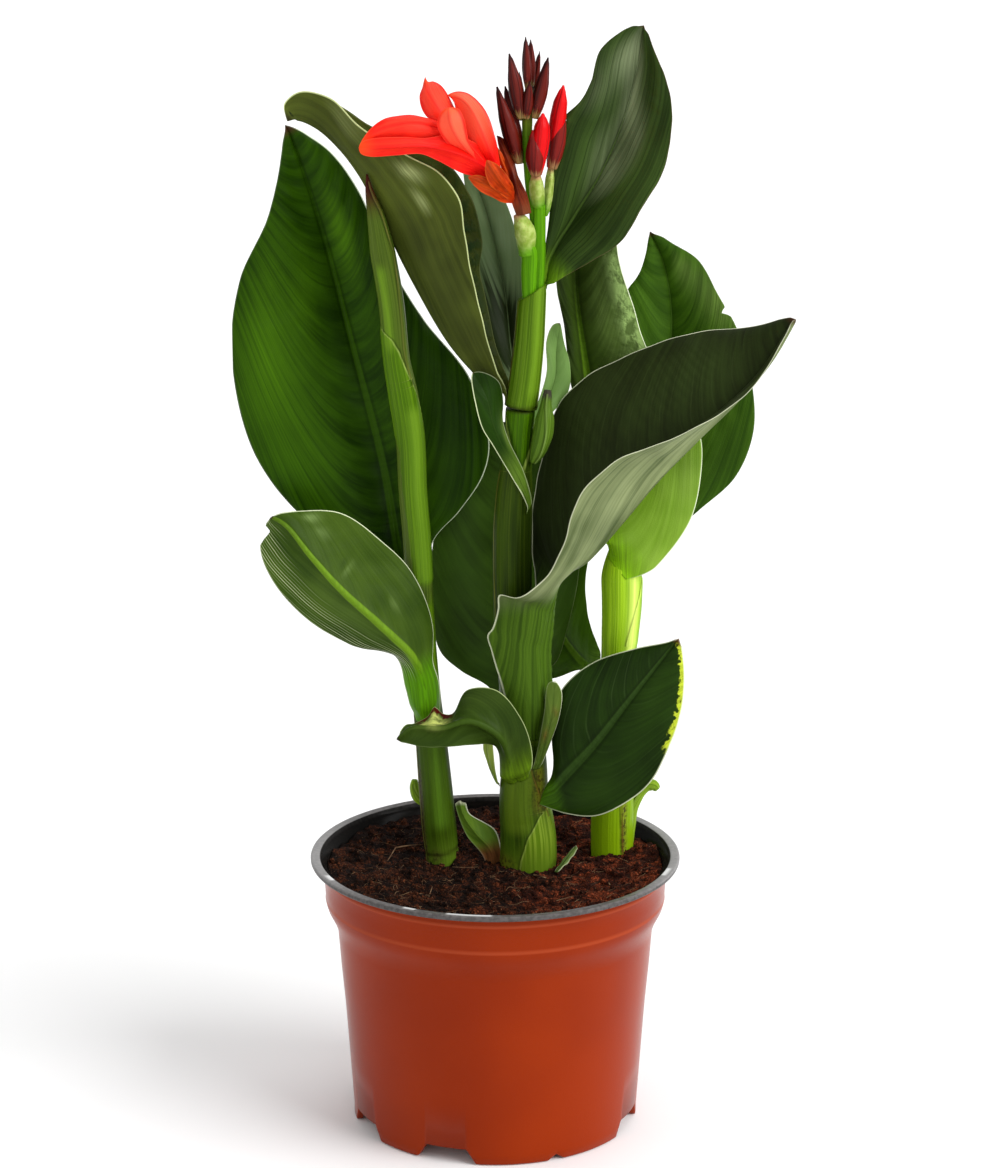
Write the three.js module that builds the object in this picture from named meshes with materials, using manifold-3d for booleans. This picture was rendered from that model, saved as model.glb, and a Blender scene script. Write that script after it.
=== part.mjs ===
// A potted canna lily: three leafy shoots in a nursery pot, one of them in flower.
// Millimetres, +Z up. The pot's axis is X = Y = 0 while the plant is built; the last
// step moves the whole plant so that the origin is the bottom centre of its box.
// Front is -Y, right is +X.

import * as THREE from 'three';
import { mergeVertices } from 'three/addons/utils/BufferGeometryUtils.js';
import Module from 'manifold-3d';

const wasm = await Module();
wasm.setup();

// ------------------------------------------------------------ driving dimensions

const GAP = 0.3;              // air left between two pieces that touch
const RIM_RADIUS = 95;        // nursery pot, 19 cm across the rim
const RIM_INNER = 90;
const RIM_THICKNESS = 1.6;
const POT_HEIGHT = 141.2;
const BASE_RADIUS = 73.8;
const POT_WALL = 1.6;
const FLOOR_HEIGHT = 8;       // underside of the floor, above the feet
const FLOOR_THICKNESS = 2.2;
const SKIRT_WALL = 3.3;
const POT_SIDE = [            // outside of the wall: [radius, height] from the floor to the rim
  [74.1, FLOOR_HEIGHT], [77.9, 62], [81.4, 102], [83.4, 108.5], [86.8, 115.5], [87.8, 122],
  [88.3, 138],
];
const POT_SEGMENTS = 40;
const NOTCH_COUNT = 8;
const NOTCH_PHASE = 25;       // degrees from the front, towards the right
const NOTCH_WIDTH = 26;
const NOTCH_HEIGHT = 7.6;
const NOTCH_DEPTH = 16;
const SMALL_NOTCH_WIDTH = 6;
const SMALL_NOTCH_HEIGHT = 2.5;
const DRAIN_RADIUS = 4;
const DRAIN_CIRCLE = 60;
const DRAIN_SIDES = 6;

const SOIL_TOP = 130;          // in the middle; the peat rises towards the wall
const SOIL_RISE = 3.6;
const SOIL_SEGMENTS = 28;
const ROOT_DEPTH = 35;        // how far the feet of the shoots reach into the soil

const BLADE = 0.9;            // leaf thickness between the veins
const RIB_DEPTH = 2.2;        // how far the midrib stands out below, at the leaf's foot
const LEAF_GRID = { rows: 12, columns: [-1, -0.72, -0.36, -0.1, 0, 0.1, 0.36, 0.72, 1] };
const SMALL_GRID = { rows: 7, columns: [-1, -0.5, 0, 0.5, 1] };
const TIP_ROW = 0.985;        // the last row stops just short of the tip
const HUG = 0.9;              // middle of a clasping leaf foot, out from its stem

const PETAL = 0.8;
const PETAL_GRID = { rows: 6, columns: [-1, -0.5, 0, 0.5, 1] };

// ------------------------------------------------------------ colours and finishes

const FINISH = {
  pot: { color: '#b34a28', roughness: 0.38 },
  soil: { color: '#3a1d12', roughness: 0.95 },
  stem: { color: '#7f9d3a', roughness: 0.5 },
  sheath: { color: '#96ab45', roughness: 0.5 },
  dark_leaf: { color: '#2d4a22', roughness: 0.42 },
  mid_leaf: { color: '#3f6a22', roughness: 0.42 },
  light_leaf: { color: '#7fa63a', roughness: 0.45 },
  petal: { color: '#ee3b26', roughness: 0.45 },
  sepal: { color: '#b8501e', roughness: 0.5 },
  bud: { color: '#5e1a1a', roughness: 0.45 },
  ovary: { color: '#b9c77c', roughness: 0.6 },
  dry: { color: '#8d6a3f', roughness: 0.8 },
};

// ------------------------------------------------------------ the shoots

// Each stem is a row of [x, y, z, radius], from its foot in the soil upwards.
const FOOT = SOIL_TOP - ROOT_DEPTH;
const STEMS = {
  stem_left: [
    [-24, 22, FOOT, 7.5], [-27, 22, 128, 8.4], [-29, 22, 148, 9], [-31, 22, 172, 8.6],
    [-33, 22, 196, 8], [-35, 22, 217, 7.3], [-37, 22, 244, 7], [-39, 22, 279, 7],
  ],
  stem_middle: [
    [17, 18, FOOT, 14.5], [17, 18, 124, 15], [17, 18, 144, 14.5], [15, 18, 164, 13],
    [15, 18, 183, 11.9], [14, 18, 204, 10.8], [12, 18, 229, 10.3], [10, 17, 250, 10],
    [9, 17, 277, 9.9], [9, 16, 309, 9.9], [10, 16, 330, 9.3], [11, 15, 345, 7.7],
    [12, 15, 359, 7.3], [13, 15, 372, 7.9],
  ],
  stem_upper: [
    [13, 15, 373.2, 8.1], [15, 15, 387, 7.8], [17, 15, 407, 7.5], [18, 15, 423, 7.2],
    [19, 15, 436, 6.6],
  ],
  stem_right: [
    [60, 30, FOOT, 10.5], [61, 30, 125, 11], [61, 31, 149, 11], [62, 32, 176, 10.4],
    [64, 32, 209, 9.6], [64, 32, 241, 9.2], [65, 33, 264, 10.2], [65, 33, 280, 10.7],
    [65, 35, 291, 9], [64, 37, 299, 6],
  ],
};
const STEM_SIDES = 14;
const MOUTH = { centre: [19, 15, 436], tilt: 32, size: 30, drop: 3.5 };

// The rolled young leaf that stands in the top of the left stem.
const SPEAR = [
  [-39, 22, 279.4, 6.8], [-40, 22, 302, 7.1], [-42, 21, 329, 7.1], [-43, 20, 355, 7.3],
  [-46, 19, 378, 7.5], [-49, 17, 396, 6.6], [-52, 15, 428, 6.5], [-56, 13, 453, 6.3],
  [-59, 11, 471, 4.4], [-62, 9, 484, 2], [-63, 8, 492, 0.5],
];
const SPEAR_SIDES = 12;
const SPEAR_ROWS = 14;
const SPEAR_STEP = 0.16;      // how far the outer turn stands over the inner one
const SPEAR_SEAM = { low: 330, high: 250, change: 0.45 }; // degrees, and the share of the height

// ------------------------------------------------------------ the leaves

// A blade is spread between its left margin, its rib and its right margin, each a
// smooth curve through [x, y, z] points from the foot to the tip.
//   arch   how far each half bulges towards the upper face, at even steps foot to tip
//   face   1 where the upper face looks at the front or the left, -1 where it looks away
//   wave   [height, count, phase] of the ripple along the margins
//   nick   [side, place, depth] of a tear in one margin
//   small  spread over a coarser grid and without a raised rib
const LEAVES = {
  leaf_left_large: {
    finish: 'mid_leaf', clasps: 'stem_left', face: 1, arch: [0, 3, 5, 5, 3, 1],
    wave: [1.6, 4, 0.1],
    left: [[-41, 27, 247], [-47, 32, 275], [-59, 36, 287], [-85, 38, 300], [-105, 40, 316],
      [-125, 42, 347], [-134, 42, 397], [-129, 45, 432], [-115, 48, 463], [-106, 52, 497],
      [-105, 54, 512]],
    rib: [[-38, 29, 244], [-44, 34, 267], [-50, 42, 292], [-58, 52, 336], [-73, 60, 395],
      [-86, 62, 447], [-99, 58, 491], [-105, 54, 512]],
    right: [[-35, 31, 246], [-33, 34, 272], [-32, 36, 297], [-18, 40, 313], [-6, 44, 331],
      [-3, 47, 348], [-13, 52, 380], [-36, 56, 409], [-51, 58, 435], [-67, 60, 477],
      [-88, 57, 502], [-105, 54, 512]],
  },
  leaf_left_small: {
    finish: 'mid_leaf', clasps: 'stem_left', face: -1, arch: [-4, -2, -1, 1, 2, 1],
    wave: [0.8, 5, 0.3], nick: [-1, 0.93, 5],
    left: [[-42, 17, 207], [-46, 14, 226], [-51, 9, 244], [-74, 4, 252], [-98, 0, 269],
      [-113, -3, 289], [-118, -4, 305], [-114, -4, 322]],
    rib: [[-35, 12, 207], [-37, 10, 231], [-43, 2, 247], [-58, -3, 264], [-78, -6, 284],
      [-93, -7, 302], [-105, -6, 317], [-114, -4, 322]],
    right: [[-28, 17, 209], [-29, 16, 228], [-32, 13, 241], [-32, 12, 261], [-42, 10, 288],
      [-57, 8, 305], [-78, 4, 321], [-98, 0, 323], [-114, -4, 322]],
  },
  leaf_low_left: {
    finish: 'mid_leaf', clasps: 'stem_middle', face: -1, arch: [-3, -1, 1, 2, 2, 1],
    wave: [0.6, 3, 0],
    left: [[3, 6, 176], [0, 0, 199], [-13, -8, 202], [-32, -12, 202], [-51, -10, 205]],
    rib: [[10, 2, 178], [6, -4, 198], [1, -9, 208], [-13, -12, 216], [-28, -14, 213],
      [-42, -13, 213], [-51, -10, 205]],
    right: [[18, 2, 180], [19, -4, 197], [14, -6, 214], [1, -4, 230], [-14, 0, 228],
      [-22, 4, 215], [-31, 8, 216], [-41, 2, 210], [-51, -10, 205]],
  },
  leaf_trough: {
    finish: 'dark_leaf', clasps: 'stem_middle', face: -1, arch: [-9, -8, -3, 1, 3, 1],
    wave: [1.8, 4, 0.55],
    left: [[6, 6, 200], [5, 4, 228], [-1, 2, 247], [-3, 0, 259], [2, -4, 277], [11, -10, 281],
      [25, -18, 297], [35, -26, 317], [44, -34, 340], [61, -38, 360], [87, -36, 369],
      [107, -28, 376], [127, -12, 389], [152, 12, 422]],
    rib: [[26, 15, 198], [25, 14, 219], [25, 14, 246], [28, 12, 268], [33, 8, 286],
      [47, 2, 298], [63, -4, 318], [80, -8, 340], [102, -8, 363], [119, -4, 379],
      [137, 4, 398], [152, 12, 422]],
    right: [[19, 27, 198], [19, 27, 220], [19, 28, 247], [20, 29, 273], [20, 31, 299],
      [20, 32, 326], [23, 31, 346], [30, 30, 365], [48, 30, 386], [73, 30, 400],
      [103, 29, 408], [130, 22, 413], [152, 12, 422]],
  },
  leaf_low_right: {
    finish: 'dark_leaf', clasps: 'stem_middle', face: 1, arch: [0, 2, 3, 3, 2, 1],
    wave: [0.9, 3, 0.2],
    left: [[26, 9, 171], [30, 12, 183], [29, 11, 209], [35, 10, 227], [49, 7, 241],
      [71, 3, 250], [89, -1, 255], [94, -2, 258]],
    rib: [[26, 6, 168], [36, 4, 181], [51, 2, 199], [66, 0, 220], [81, -2, 241],
      [94, -2, 258]],
    right: [[26, 3, 165], [37, -2, 163], [52, -8, 164], [67, -13, 173], [79, -16, 185],
      [88, -17, 203], [94, -14, 222], [96, -8, 239], [94, -2, 258]],
  },
  leaf_behind: {
    finish: 'dark_leaf', clasps: 'stem_middle', face: 1, arch: [0, 2, 3, 3, 2, 1],
    wave: [1.2, 3, 0.4],
    left: [[7, 29, 206], [-3, 36, 219], [-18, 44, 226], [-29, 48, 236], [-33, 52, 262],
      [-32, 55, 293], [-23, 58, 325], [-10, 60, 345], [1, 60, 357]],
    rib: [[10, 30, 203], [10, 40, 233], [9, 50, 262], [7, 58, 298], [4, 62, 334],
      [1, 60, 357]],
    right: [[13, 30, 206], [24, 39, 225], [32, 44, 231], [38, 50, 249], [43, 54, 272],
      [44, 57, 295], [38, 60, 324], [21, 61, 350], [1, 60, 357]],
  },
  leaf_between: {
    finish: 'mid_leaf', clasps: 'stem_right', face: 1, arch: [0, 2, 2, 2, 1, 1],
    wave: [0.9, 3, 0.7],
    left: [[55, 34, 227], [44, 45, 226], [27, 60, 217], [14, 68, 226], [7, 72, 249],
      [7, 74, 281], [16, 75, 321], [27, 74, 348]],
    rib: [[55, 33, 230], [48, 44, 229], [36, 59, 240], [28, 69, 258], [23, 75, 289],
      [25, 77, 321], [27, 74, 348]],
    right: [[56, 32, 235], [53, 38, 242], [48, 49, 254], [47, 58, 267], [49, 64, 284],
      [48, 68, 307], [40, 72, 335], [27, 74, 348]],
  },
  leaf_arching: {
    finish: 'mid_leaf', clasps: 'stem_upper', face: 1, arch: [-1, -2, -4, -4, -3, 0],
    wave: [1, 3, 0.2],
    left: [[5, 12, 377], [2, 12, 389], [-4, 5, 409], [-9, -4, 437], [-15, -9, 465],
      [-19, -9, 484], [-28, -7, 496], [-47, -3, 506], [-66, 1, 516], [-81, 4, 530],
      [-95, 6, 533], [-103, 7, 527], [-104, 7, 517]],
    rib: [[4, 18, 376], [-2, 18, 384], [-9, 17, 391], [-22, 15, 407], [-40, 15, 438],
      [-55, 16, 468], [-66, 15, 490], [-77, 13, 505], [-88, 11, 515], [-98, 9, 519],
      [-104, 7, 517]],
    right: [[6, 23, 376], [5, 26, 388], [0, 32, 403], [-5, 38, 423], [-8, 40, 437],
      [-6, 42, 453], [-9, 42, 469], [-18, 40, 485], [-35, 35, 500], [-61, 24, 514],
      [-79, 15, 526], [-93, 10, 531], [-101, 8, 527], [-104, 7, 517]],
  },
  leaf_behind_flower: {
    finish: 'light_leaf', clasps: 'stem_upper', small: true, face: 1, arch: [0, 1, 1, 1, 1, 0],
    wave: [0.6, 2, 0],
    left: [[9, 25, 376], [-2, 42, 399], [-7, 52, 426], [-11, 56, 453], [-15, 56, 476],
      [-17, 54, 494]],
    rib: [[12, 26, 376], [8, 46, 398], [5, 58, 424], [-1, 62, 452], [-8, 60, 475],
      [-17, 54, 494]],
    right: [[15, 25, 377], [16, 42, 399], [15, 50, 426], [11, 54, 453], [2, 56, 476],
      [-17, 54, 494]],
  },
  leaf_bract: {
    finish: 'mid_leaf', clasps: 'stem_middle', small: true, face: 1, arch: [-1, -1, 0, 0, 0, 0],
    wave: [0, 1, 0],
    left: [[12, 5, 328], [4, 3, 352], [-4, 1, 363], [-10, 2, 378], [-13, 5, 386],
      [-12, 7, 393]],
    rib: [[15, 4, 326], [8, 4, 348], [0, 4, 364], [-6, 5, 378], [-10, 7, 388],
      [-12, 7, 393]],
    right: [[19, 5, 324], [16, 5, 337], [7, 5, 358], [1, 6, 372], [-1, 7, 384],
      [-7, 8, 390], [-12, 7, 393]],
  },
  leaf_node: {
    finish: 'light_leaf', clasps: 'stem_middle', small: true, face: 1, arch: [0, 1, 1, 1, 0, 0],
    wave: [0, 1, 0],
    left: [[19, 22, 366], [26, 32, 387], [26, 37, 402], [29, 38, 410], [33, 38, 412]],
    rib: [[20, 22, 363], [30, 36, 383], [31, 40, 397], [33, 38, 412]],
    right: [[22, 20, 362], [37, 36, 376], [38, 40, 389], [35, 40, 401], [33, 38, 412]],
  },
  leaf_light: {
    finish: 'light_leaf', clasps: 'stem_right', face: 1, arch: [0, 2, 3, 3, 2, 1],
    wave: [1.4, 4, 0.2],
    left: [[56, 28, 290], [53, 32, 305], [49, 42, 329], [44, 50, 358], [39, 51, 376],
      [35, 50, 408], [31, 49, 431], [33, 48, 457], [39, 48, 477], [47, 49, 490]],
    rib: [[59, 24, 288], [57, 27, 302], [55, 38, 318], [52, 52, 342], [47, 58, 380],
      [41, 58, 427], [42, 54, 461], [47, 49, 490]],
    right: [[67, 21, 281], [76, 21, 283], [89, 27, 294], [100, 32, 310], [105, 36, 331],
      [105, 40, 352], [92, 45, 378], [77, 48, 397], [70, 48, 419], [63, 48, 441],
      [59, 49, 467], [47, 49, 490]],
  },
  leaf_back_right: {
    finish: 'mid_leaf', clasps: 'stem_right', face: 1, arch: [0, 2, 3, 3, 2, 1],
    wave: [1.2, 3, 0.6], nick: [1, 0.74, 4],
    left: [[60, 42, 266], [59, 50, 300], [58, 60, 340], [60, 66, 381], [65, 69, 417],
      [74, 70, 431], [78, 70, 446], [78, 69, 455]],
    rib: [[63, 43, 265], [71, 52, 294], [81, 66, 333], [89, 74, 374], [91, 76, 410],
      [86, 73, 437], [78, 69, 455]],
    right: [[68, 41, 267], [85, 46, 293], [106, 54, 310], [124, 58, 326], [133, 61, 348],
      [133, 63, 370], [125, 65, 401], [114, 66, 421], [104, 67, 438], [90, 68, 447],
      [78, 69, 455]],
  },
  leaf_upper_right: {
    finish: 'dark_leaf', clasps: 'stem_upper', face: 1, arch: [0, 2, 4, 4, 2, 1],
    wave: [1.6, 4, 0.3], nick: [-1, 0.5, 3],
    left: [[22, 19, 435], [24, 20, 446], [27, 21, 470], [29, 22, 494], [33, 22, 516],
      [42, 21, 526], [47, 20, 536], [52, 18, 552], [62, 16, 561], [73, 14, 566]],
    rib: [[25, 18, 432], [28, 22, 448], [40, 27, 468], [53, 30, 489], [63, 30, 513],
      [70, 25, 541], [73, 14, 566]],
    right: [[26, 15, 434], [35, 14, 440], [48, 10, 448], [62, 6, 459], [74, 4, 478],
      [83, 4, 496], [87, 6, 518], [83, 9, 540], [77, 12, 555], [73, 14, 566]],
  },
};

// ------------------------------------------------------------ small growths

const SIDE_GROWTHS = {
  bud_node: { finish: 'stem', path: [[18, 10, 346, 2.4], [22, 7, 355, 4], [24, 6, 368, 4.6],
    [25, 8, 378, 4], [25, 9, 383, 1.2]] },
  knob_left: { finish: 'sheath', path: [[-35, 29, 158, 3], [-40, 31, 161, 3.4],
    [-42, 32, 166, 2.8], [-42, 32, 171, 1]] },
  stub_right: { finish: 'sheath', path: [[72, 38, 118, 3.2], [73, 38, 138, 3.2],
    [75, 39, 150, 3], [79, 39, 159, 2.8], [83, 39, 164, 2.8], [85, 39, 167, 1.6]] },
};
const FLAPS = {
  sheath_lobe: {
    finish: 'sheath', clasps: 'stem_middle', small: true, face: 1, arch: [0, 1, 1, 0], wave: [0, 1, 0],
    left: [[19, 6, 184], [22, 4, 198], [25, 3, 216], [27, 4, 232]],
    rib: [[21, 7, 184], [25, 4, 199], [28, 3, 216], [28, 4, 232]],
    right: [[23, 9, 184], [27, 6, 200], [29, 5, 216], [29, 5, 231]],
  },
  sheath_curl: {
    finish: 'dry', clasps: 'stem_middle', small: true, face: 1, arch: [0, 1, 1, 0], wave: [0, 1, 0],
    left: [[1, 20, 172], [-3, 19, 183], [-6, 18, 194], [-4, 18, 202]],
    rib: [[1, 17, 172], [-2, 15, 184], [-4, 14, 194], [-3, 15, 203]],
    right: [[2, 14, 172], [0, 11, 183], [-1, 10, 194], [-2, 12, 203]],
  },
  cut_sheath: {
    finish: 'sheath', clasps: null, small: true, face: 1, arch: [-1, -1, -1, -1], wave: [0, 1, 0],
    left: [[-6, 18, 122], [-12, 18, 140], [-19, 19, 153], [-21, 20, 162]],
    rib: [[-2, 15, 122], [-7, 15, 141], [-13, 16, 155], [-18, 18, 164]],
    right: [[1, 17, 122], [0, 19, 143], [-6, 21, 155], [-15, 20, 165]],
  },
};

// ------------------------------------------------------------ the flower spike

const SPIKE = [
  [[17, 14, 425, 3.6], [17, 13, 441, 4.4], [17, 12, 453, 4.6], [15, 11, 457, 4]],
  [[21, 15, 428, 3], [22, 13, 447, 3], [22, 12, 463, 3.2], [22, 12, 476, 3.2]],
  [[20, 15, 452, 2.2], [19, 14, 472, 2.2], [17, 14, 486, 2.2], [16, 14, 503, 2.3],
    [16, 14, 518, 2.8], [16, 14, 528, 2.2], [17, 14, 537, 1.4]],
];
const OVARIES = {
  ovary_flower: [[15.5, 11, 456, 4.3], [15, 10, 462, 5.6], [13, 9, 468, 4], [11, 9, 472, 2]],
  ovary_bud_front: [[21.4, 12, 475, 3.2], [21, 11, 481, 3.9], [20.5, 10, 487, 3.6],
    [20.5, 9.5, 491, 2.2]],
  ovary_bud_back: [[25, 14, 470, 1.6], [26.5, 15.5, 480, 2.3], [27.3, 16.5, 488, 2.3],
    [27.8, 17, 494, 1.4]],
};
const OVARY_SIDES = 8;

// Each closed bud is [foot, tip, radius].
const BUDS = {
  bud_top_front: [[16, 11, 533], [15, 11, 559], 2.3],
  bud_top_back: [[18, 16, 534], [17.5, 16, 557], 2.3],
  bud_upper_left: [[13, 11, 519], [7, 9, 551], 3.6],
  bud_upper_right: [[19.5, 11.5, 519], [26, 10, 549], 3.4],
  bud_upper_back: [[19, 19, 530], [22, 19, 551], 1.8],
  bud_middle: [[15.5, 10, 519], [17, 7, 538], 2.5],
  bud_back_left: [[13, 18, 517], [12, 18, 541], 2],
  bud_left_front: [[12, 11, 497], [1, 8, 535], 4],
  bud_left_back: [[13, 16, 496], [5, 17, 534], 3.6],
  bud_red_front: [[20.5, 9.5, 492], [24, 7.5, 520], 3.9],
  bud_red_back: [[27.8, 16, 495], [33, 13, 535], 3.4],
};
const BUD_SIDES = 8;
const BUD_ROWS = 6;
const RED_BUDS = ['bud_red_front', 'bud_red_back'];
const BUD_BRACTS = {
  bract_red_front: [[19.5, 8.5, 491], [18.5, 6, 512], 4.2],
  bract_red_back: [[28.2, 15.5, 494], [31.5, 14, 521], 3.6],
};

// The open flower's pieces have the same three curves as a leaf.
const PETALS = [
  { left: [[9, 4, 473], [-3, -6, 482], [-18, -12, 490], [-39, -18, 500], [-53, -22, 499],
    [-64, -24, 500], [-69, -25, 503]],
  rib: [[8, 0, 475], [-14, -12, 492], [-29, -20, 500], [-48, -26, 504], [-62, -27, 504],
    [-69, -25, 503]],
  right: [[8, 4, 480], [-8, -8, 497], [-18, -14, 504], [-27, -17, 504], [-46, -22, 506],
    [-57, -24, 508], [-66, -25, 506], [-69, -25, 503]], arch: -2 },
  { left: [[6, 7, 480], [-15, -4, 497], [-24, -11, 503], [-44, -16, 506], [-57, -18, 506],
    [-64, -20, 505], [-67, -22, 505]],
  rib: [[5, 6, 484], [-14, 0, 506], [-28, -6, 509], [-45, -12, 512], [-58, -17, 511],
    [-67, -22, 505]],
  right: [[6, 9, 487], [-10, 6, 511], [-27, 2, 511], [-39, -4, 515], [-49, -8, 516],
    [-57, -12, 515], [-63, -18, 510], [-67, -22, 505]], arch: 3 },
  { left: [[4, 6, 482], [-16, 5, 500], [-30, 0, 510], [-37, 0, 519], [-38, 2, 524],
    [-36, 4, 529], [-35, 6, 533]],
  rib: [[4, 4, 482], [-18, 0, 502], [-24, -4, 513], [-28, -2, 522], [-32, 2, 529],
    [-35, 6, 533]],
  right: [[6, 6, 484], [-12, 5, 504], [-18, 4, 515], [-22, 6, 523], [-27, 7, 528],
    [-32, 7, 529], [-35, 6, 533]], arch: 2 },
  { left: [[2, 0, 482], [-20, -12, 500], [-29, -16, 511], [-27, -16, 518], [-22, -14, 520]],
    rib: [[3, -2, 482], [-18, -16, 500], [-21, -21, 512], [-22, -18, 518], [-22, -14, 520]],
    right: [[4, 0, 484], [-14, -12, 503], [-15, -15, 512], [-18, -15, 518],
      [-22, -14, 520]], arch: -2 },
  { left: [[6, 4, 480], [-3, -1, 496], [-12, 0, 506], [-15, 2, 514], [-19, 4, 521],
    [-23, 4, 523]],
  rib: [[8, 0, 481], [-1, -9, 507], [-7, -7, 517], [-14, -1, 521], [-23, 4, 523]],
  right: [[9, 6, 483], [4, 4, 503], [1, 4, 514], [-6, 4, 521], [-14, 5, 524],
    [-23, 4, 523]], arch: 3 },
];
const SEPALS = [
  { left: [[9, 8, 471], [0, 2, 475], [-8, -1, 480], [-15, -3, 488]],
    rib: [[9, 5, 472], [0, -2, 478], [-8, -6, 483], [-15, -3, 488]],
    right: [[9, 5, 475], [0, 0, 481], [-7, -2, 487], [-15, -3, 488]], arch: -1 },
  { left: [[8, 7, 472], [0, 4, 480], [-3, 2, 489], [-3, 3, 495]],
    rib: [[10, 3, 474], [5, -2, 481], [2, -3, 488], [-3, 3, 495]],
    right: [[11, 8, 475], [9, 7, 484], [4, 7, 493], [-3, 3, 495]], arch: -1 },
  { left: [[10, 8, 474], [6, 8, 489], [1, 9, 501]],
    rib: [[10, 5, 475], [6, 5, 488], [1, 9, 501]],
    right: [[12, 10, 477], [9, 11, 488], [1, 9, 501]], arch: -1 },
];
const FLOWER_BRACT = {
  left: [[11, 8, 467], [6, 10, 485], [2, 10, 498], [0, 11, 505]],
  rib: [[14, 5, 467], [10, 7, 480], [5, 9, 493], [0, 11, 505]],
  right: [[17, 11, 470], [12, 13, 484], [7, 13, 497], [0, 11, 505]], arch: -1,
};

// A torn scrap of leaf that lies on the soil.
const SCRAP = {
  left: [[30, 1, 130.6], [36, 9, 134], [42, 17, 139]],
  rib: [[31.5, 0, 130.4], [38, 8, 134], [43, 16, 139]],
  right: [[33, 0, 130.6], [40, 7, 134], [44, 15, 139]], arch: 1,
};

// ------------------------------------------------------------ helpers

const vector = ([x, y, z]) => new THREE.Vector3(x, y, z);
const curve = (points) => new THREE.CatmullRomCurve3(points.map(vector), false, 'centripetal');
const steps = (count, last = 1) => Array.from({ length: count + 1 }, (_, i) => (i / count) * last);

// A value from a short list of values at even steps from 0 to 1.
function along(values, u) {
  const place = u * (values.length - 1);
  const index = Math.min(Math.floor(place), values.length - 2);
  return THREE.MathUtils.lerp(values[index], values[index + 1], place - index);
}

function geometryOf(points, triangles) {
  const geometry = new THREE.BufferGeometry();
  geometry.setAttribute('position',
    new THREE.Float32BufferAttribute(points.flatMap((p) => [p.x, p.y, p.z]), 3));
  geometry.setIndex(triangles.flat());
  return geometry;
}

// A closed three.js geometry as a solid: vertices merged, flat triangles dropped.
function solidOf(geometry) {
  const bare = geometry.clone();
  bare.deleteAttribute('normal');
  bare.deleteAttribute('uv');
  const merged = mergeVertices(bare, 1e-3);
  const index = merged.index.array;
  const triangles = [];
  for (let i = 0; i < index.length; i += 3) {
    const [a, b, c] = [index[i], index[i + 1], index[i + 2]];
    if (a !== b && b !== c && c !== a) triangles.push(a, b, c);
  }
  const mesh = (triVerts) => new wasm.Mesh({
    numProp: 3,
    vertProperties: new Float32Array(merged.attributes.position.array),
    triVerts: new Uint32Array(triVerts),
  });
  const solid = new wasm.Manifold(mesh(triangles));
  return solid.volume() > 0 ? solid : new wasm.Manifold(mesh(triangles.reverse()));
}

function geometryFrom(solid) {
  const { vertProperties, triVerts } = solid.getMesh();
  const geometry = new THREE.BufferGeometry();
  geometry.setAttribute('position', new THREE.BufferAttribute(vertProperties, 3));
  geometry.setIndex(new THREE.BufferAttribute(triVerts, 1));
  geometry.computeVertexNormals();
  return geometry;
}

const largest = (solid) => solid.decompose().sort((a, b) => b.volume() - a.volume())[0];
const cutAway = (solid, ...tools) => largest(tools.reduce((rest, tool) => rest.subtract(tool), solid));
const fused = (solids) => solids.reduce((all, solid) => all.add(solid));

// Closed skin over rings of equal length, with a fan over each end ring.
function skin(rings) {
  const sides = rings[0].length;
  const points = rings.flat();
  const triangles = [];
  for (let row = 0; row + 1 < rings.length; row += 1) {
    for (let i = 0; i < sides; i += 1) {
      const j = (i + 1) % sides;
      const [a, b] = [row * sides + i, row * sides + j];
      triangles.push([a, b, b + sides], [a, b + sides, a + sides]);
    }
  }
  const centreOf = (ring) => ring.reduce((sum, p) => sum.add(p), new THREE.Vector3())
    .divideScalar(sides);
  const [first, last] = [points.length, points.length + 1];
  const top = (rings.length - 1) * sides;
  points.push(centreOf(rings[0]), centreOf(rings[rings.length - 1]));
  for (let i = 0; i < sides; i += 1) {
    const j = (i + 1) % sides;
    triangles.push([first, j, i], [last, top + i, top + j]);
  }
  return geometryOf(points, triangles);
}

// A tapering round solid along [x, y, z, radius] points. grow adds air all round it,
// and swell(angle, u) scales the radius round the section.
function taper(path, sides, { grow = 0, rows = path.length - 1, swell = () => 1 } = {}) {
  const line = new THREE.CatmullRomCurve3(path.map(vector), false, 'centripetal');
  const radii = path.map((point) => point[3]);
  const rings = steps(rows).map((u) => {
    const centre = line.getPoint(u);
    const tangent = line.getTangent(u);
    const right = new THREE.Vector3(0, 1, 0).cross(tangent).normalize();
    const back = new THREE.Vector3().crossVectors(tangent, right);
    if (u === 0) centre.addScaledVector(tangent, -grow);
    if (u === 1) centre.addScaledVector(tangent, grow);
    return steps(sides).slice(0, sides).map((turn) => {
      const angle = turn * 2 * Math.PI;
      const radius = along(radii, u) * swell(angle, u) + grow;
      return centre.clone().addScaledVector(right, Math.cos(angle) * radius)
        .addScaledVector(back, Math.sin(angle) * radius);
    });
  });
  return solidOf(skin(rings));
}

// The stem's centre and radius at a height.
function stemAt(name, z) {
  const path = STEMS[name];
  const next = path.findIndex((point) => point[2] >= z);
  if (next === 0) return path[0];
  if (next < 0) return path[path.length - 1];
  const [low, high] = [path[next - 1], path[next]];
  const share = (z - low[2]) / (high[2] - low[2]);
  return low.map((value, i) => THREE.MathUtils.lerp(value, high[i], share));
}

// Moves a point out of the stem that the leaf clasps. A seated point lands on the stem.
function hug(point, stem, seated) {
  const path = STEMS[stem];
  if (point.z > path[path.length - 1][2]) return point;
  const [x, y, , radius] = stemAt(stem, point.z);
  const reach = Math.hypot(point.x - x, point.y - y);
  const wanted = radius + HUG;
  if (reach >= wanted && !seated) return point;
  const scale = wanted / Math.max(reach, 1e-3);
  return new THREE.Vector3(x + (point.x - x) * scale, y + (point.y - y) * scale, point.z);
}

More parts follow.
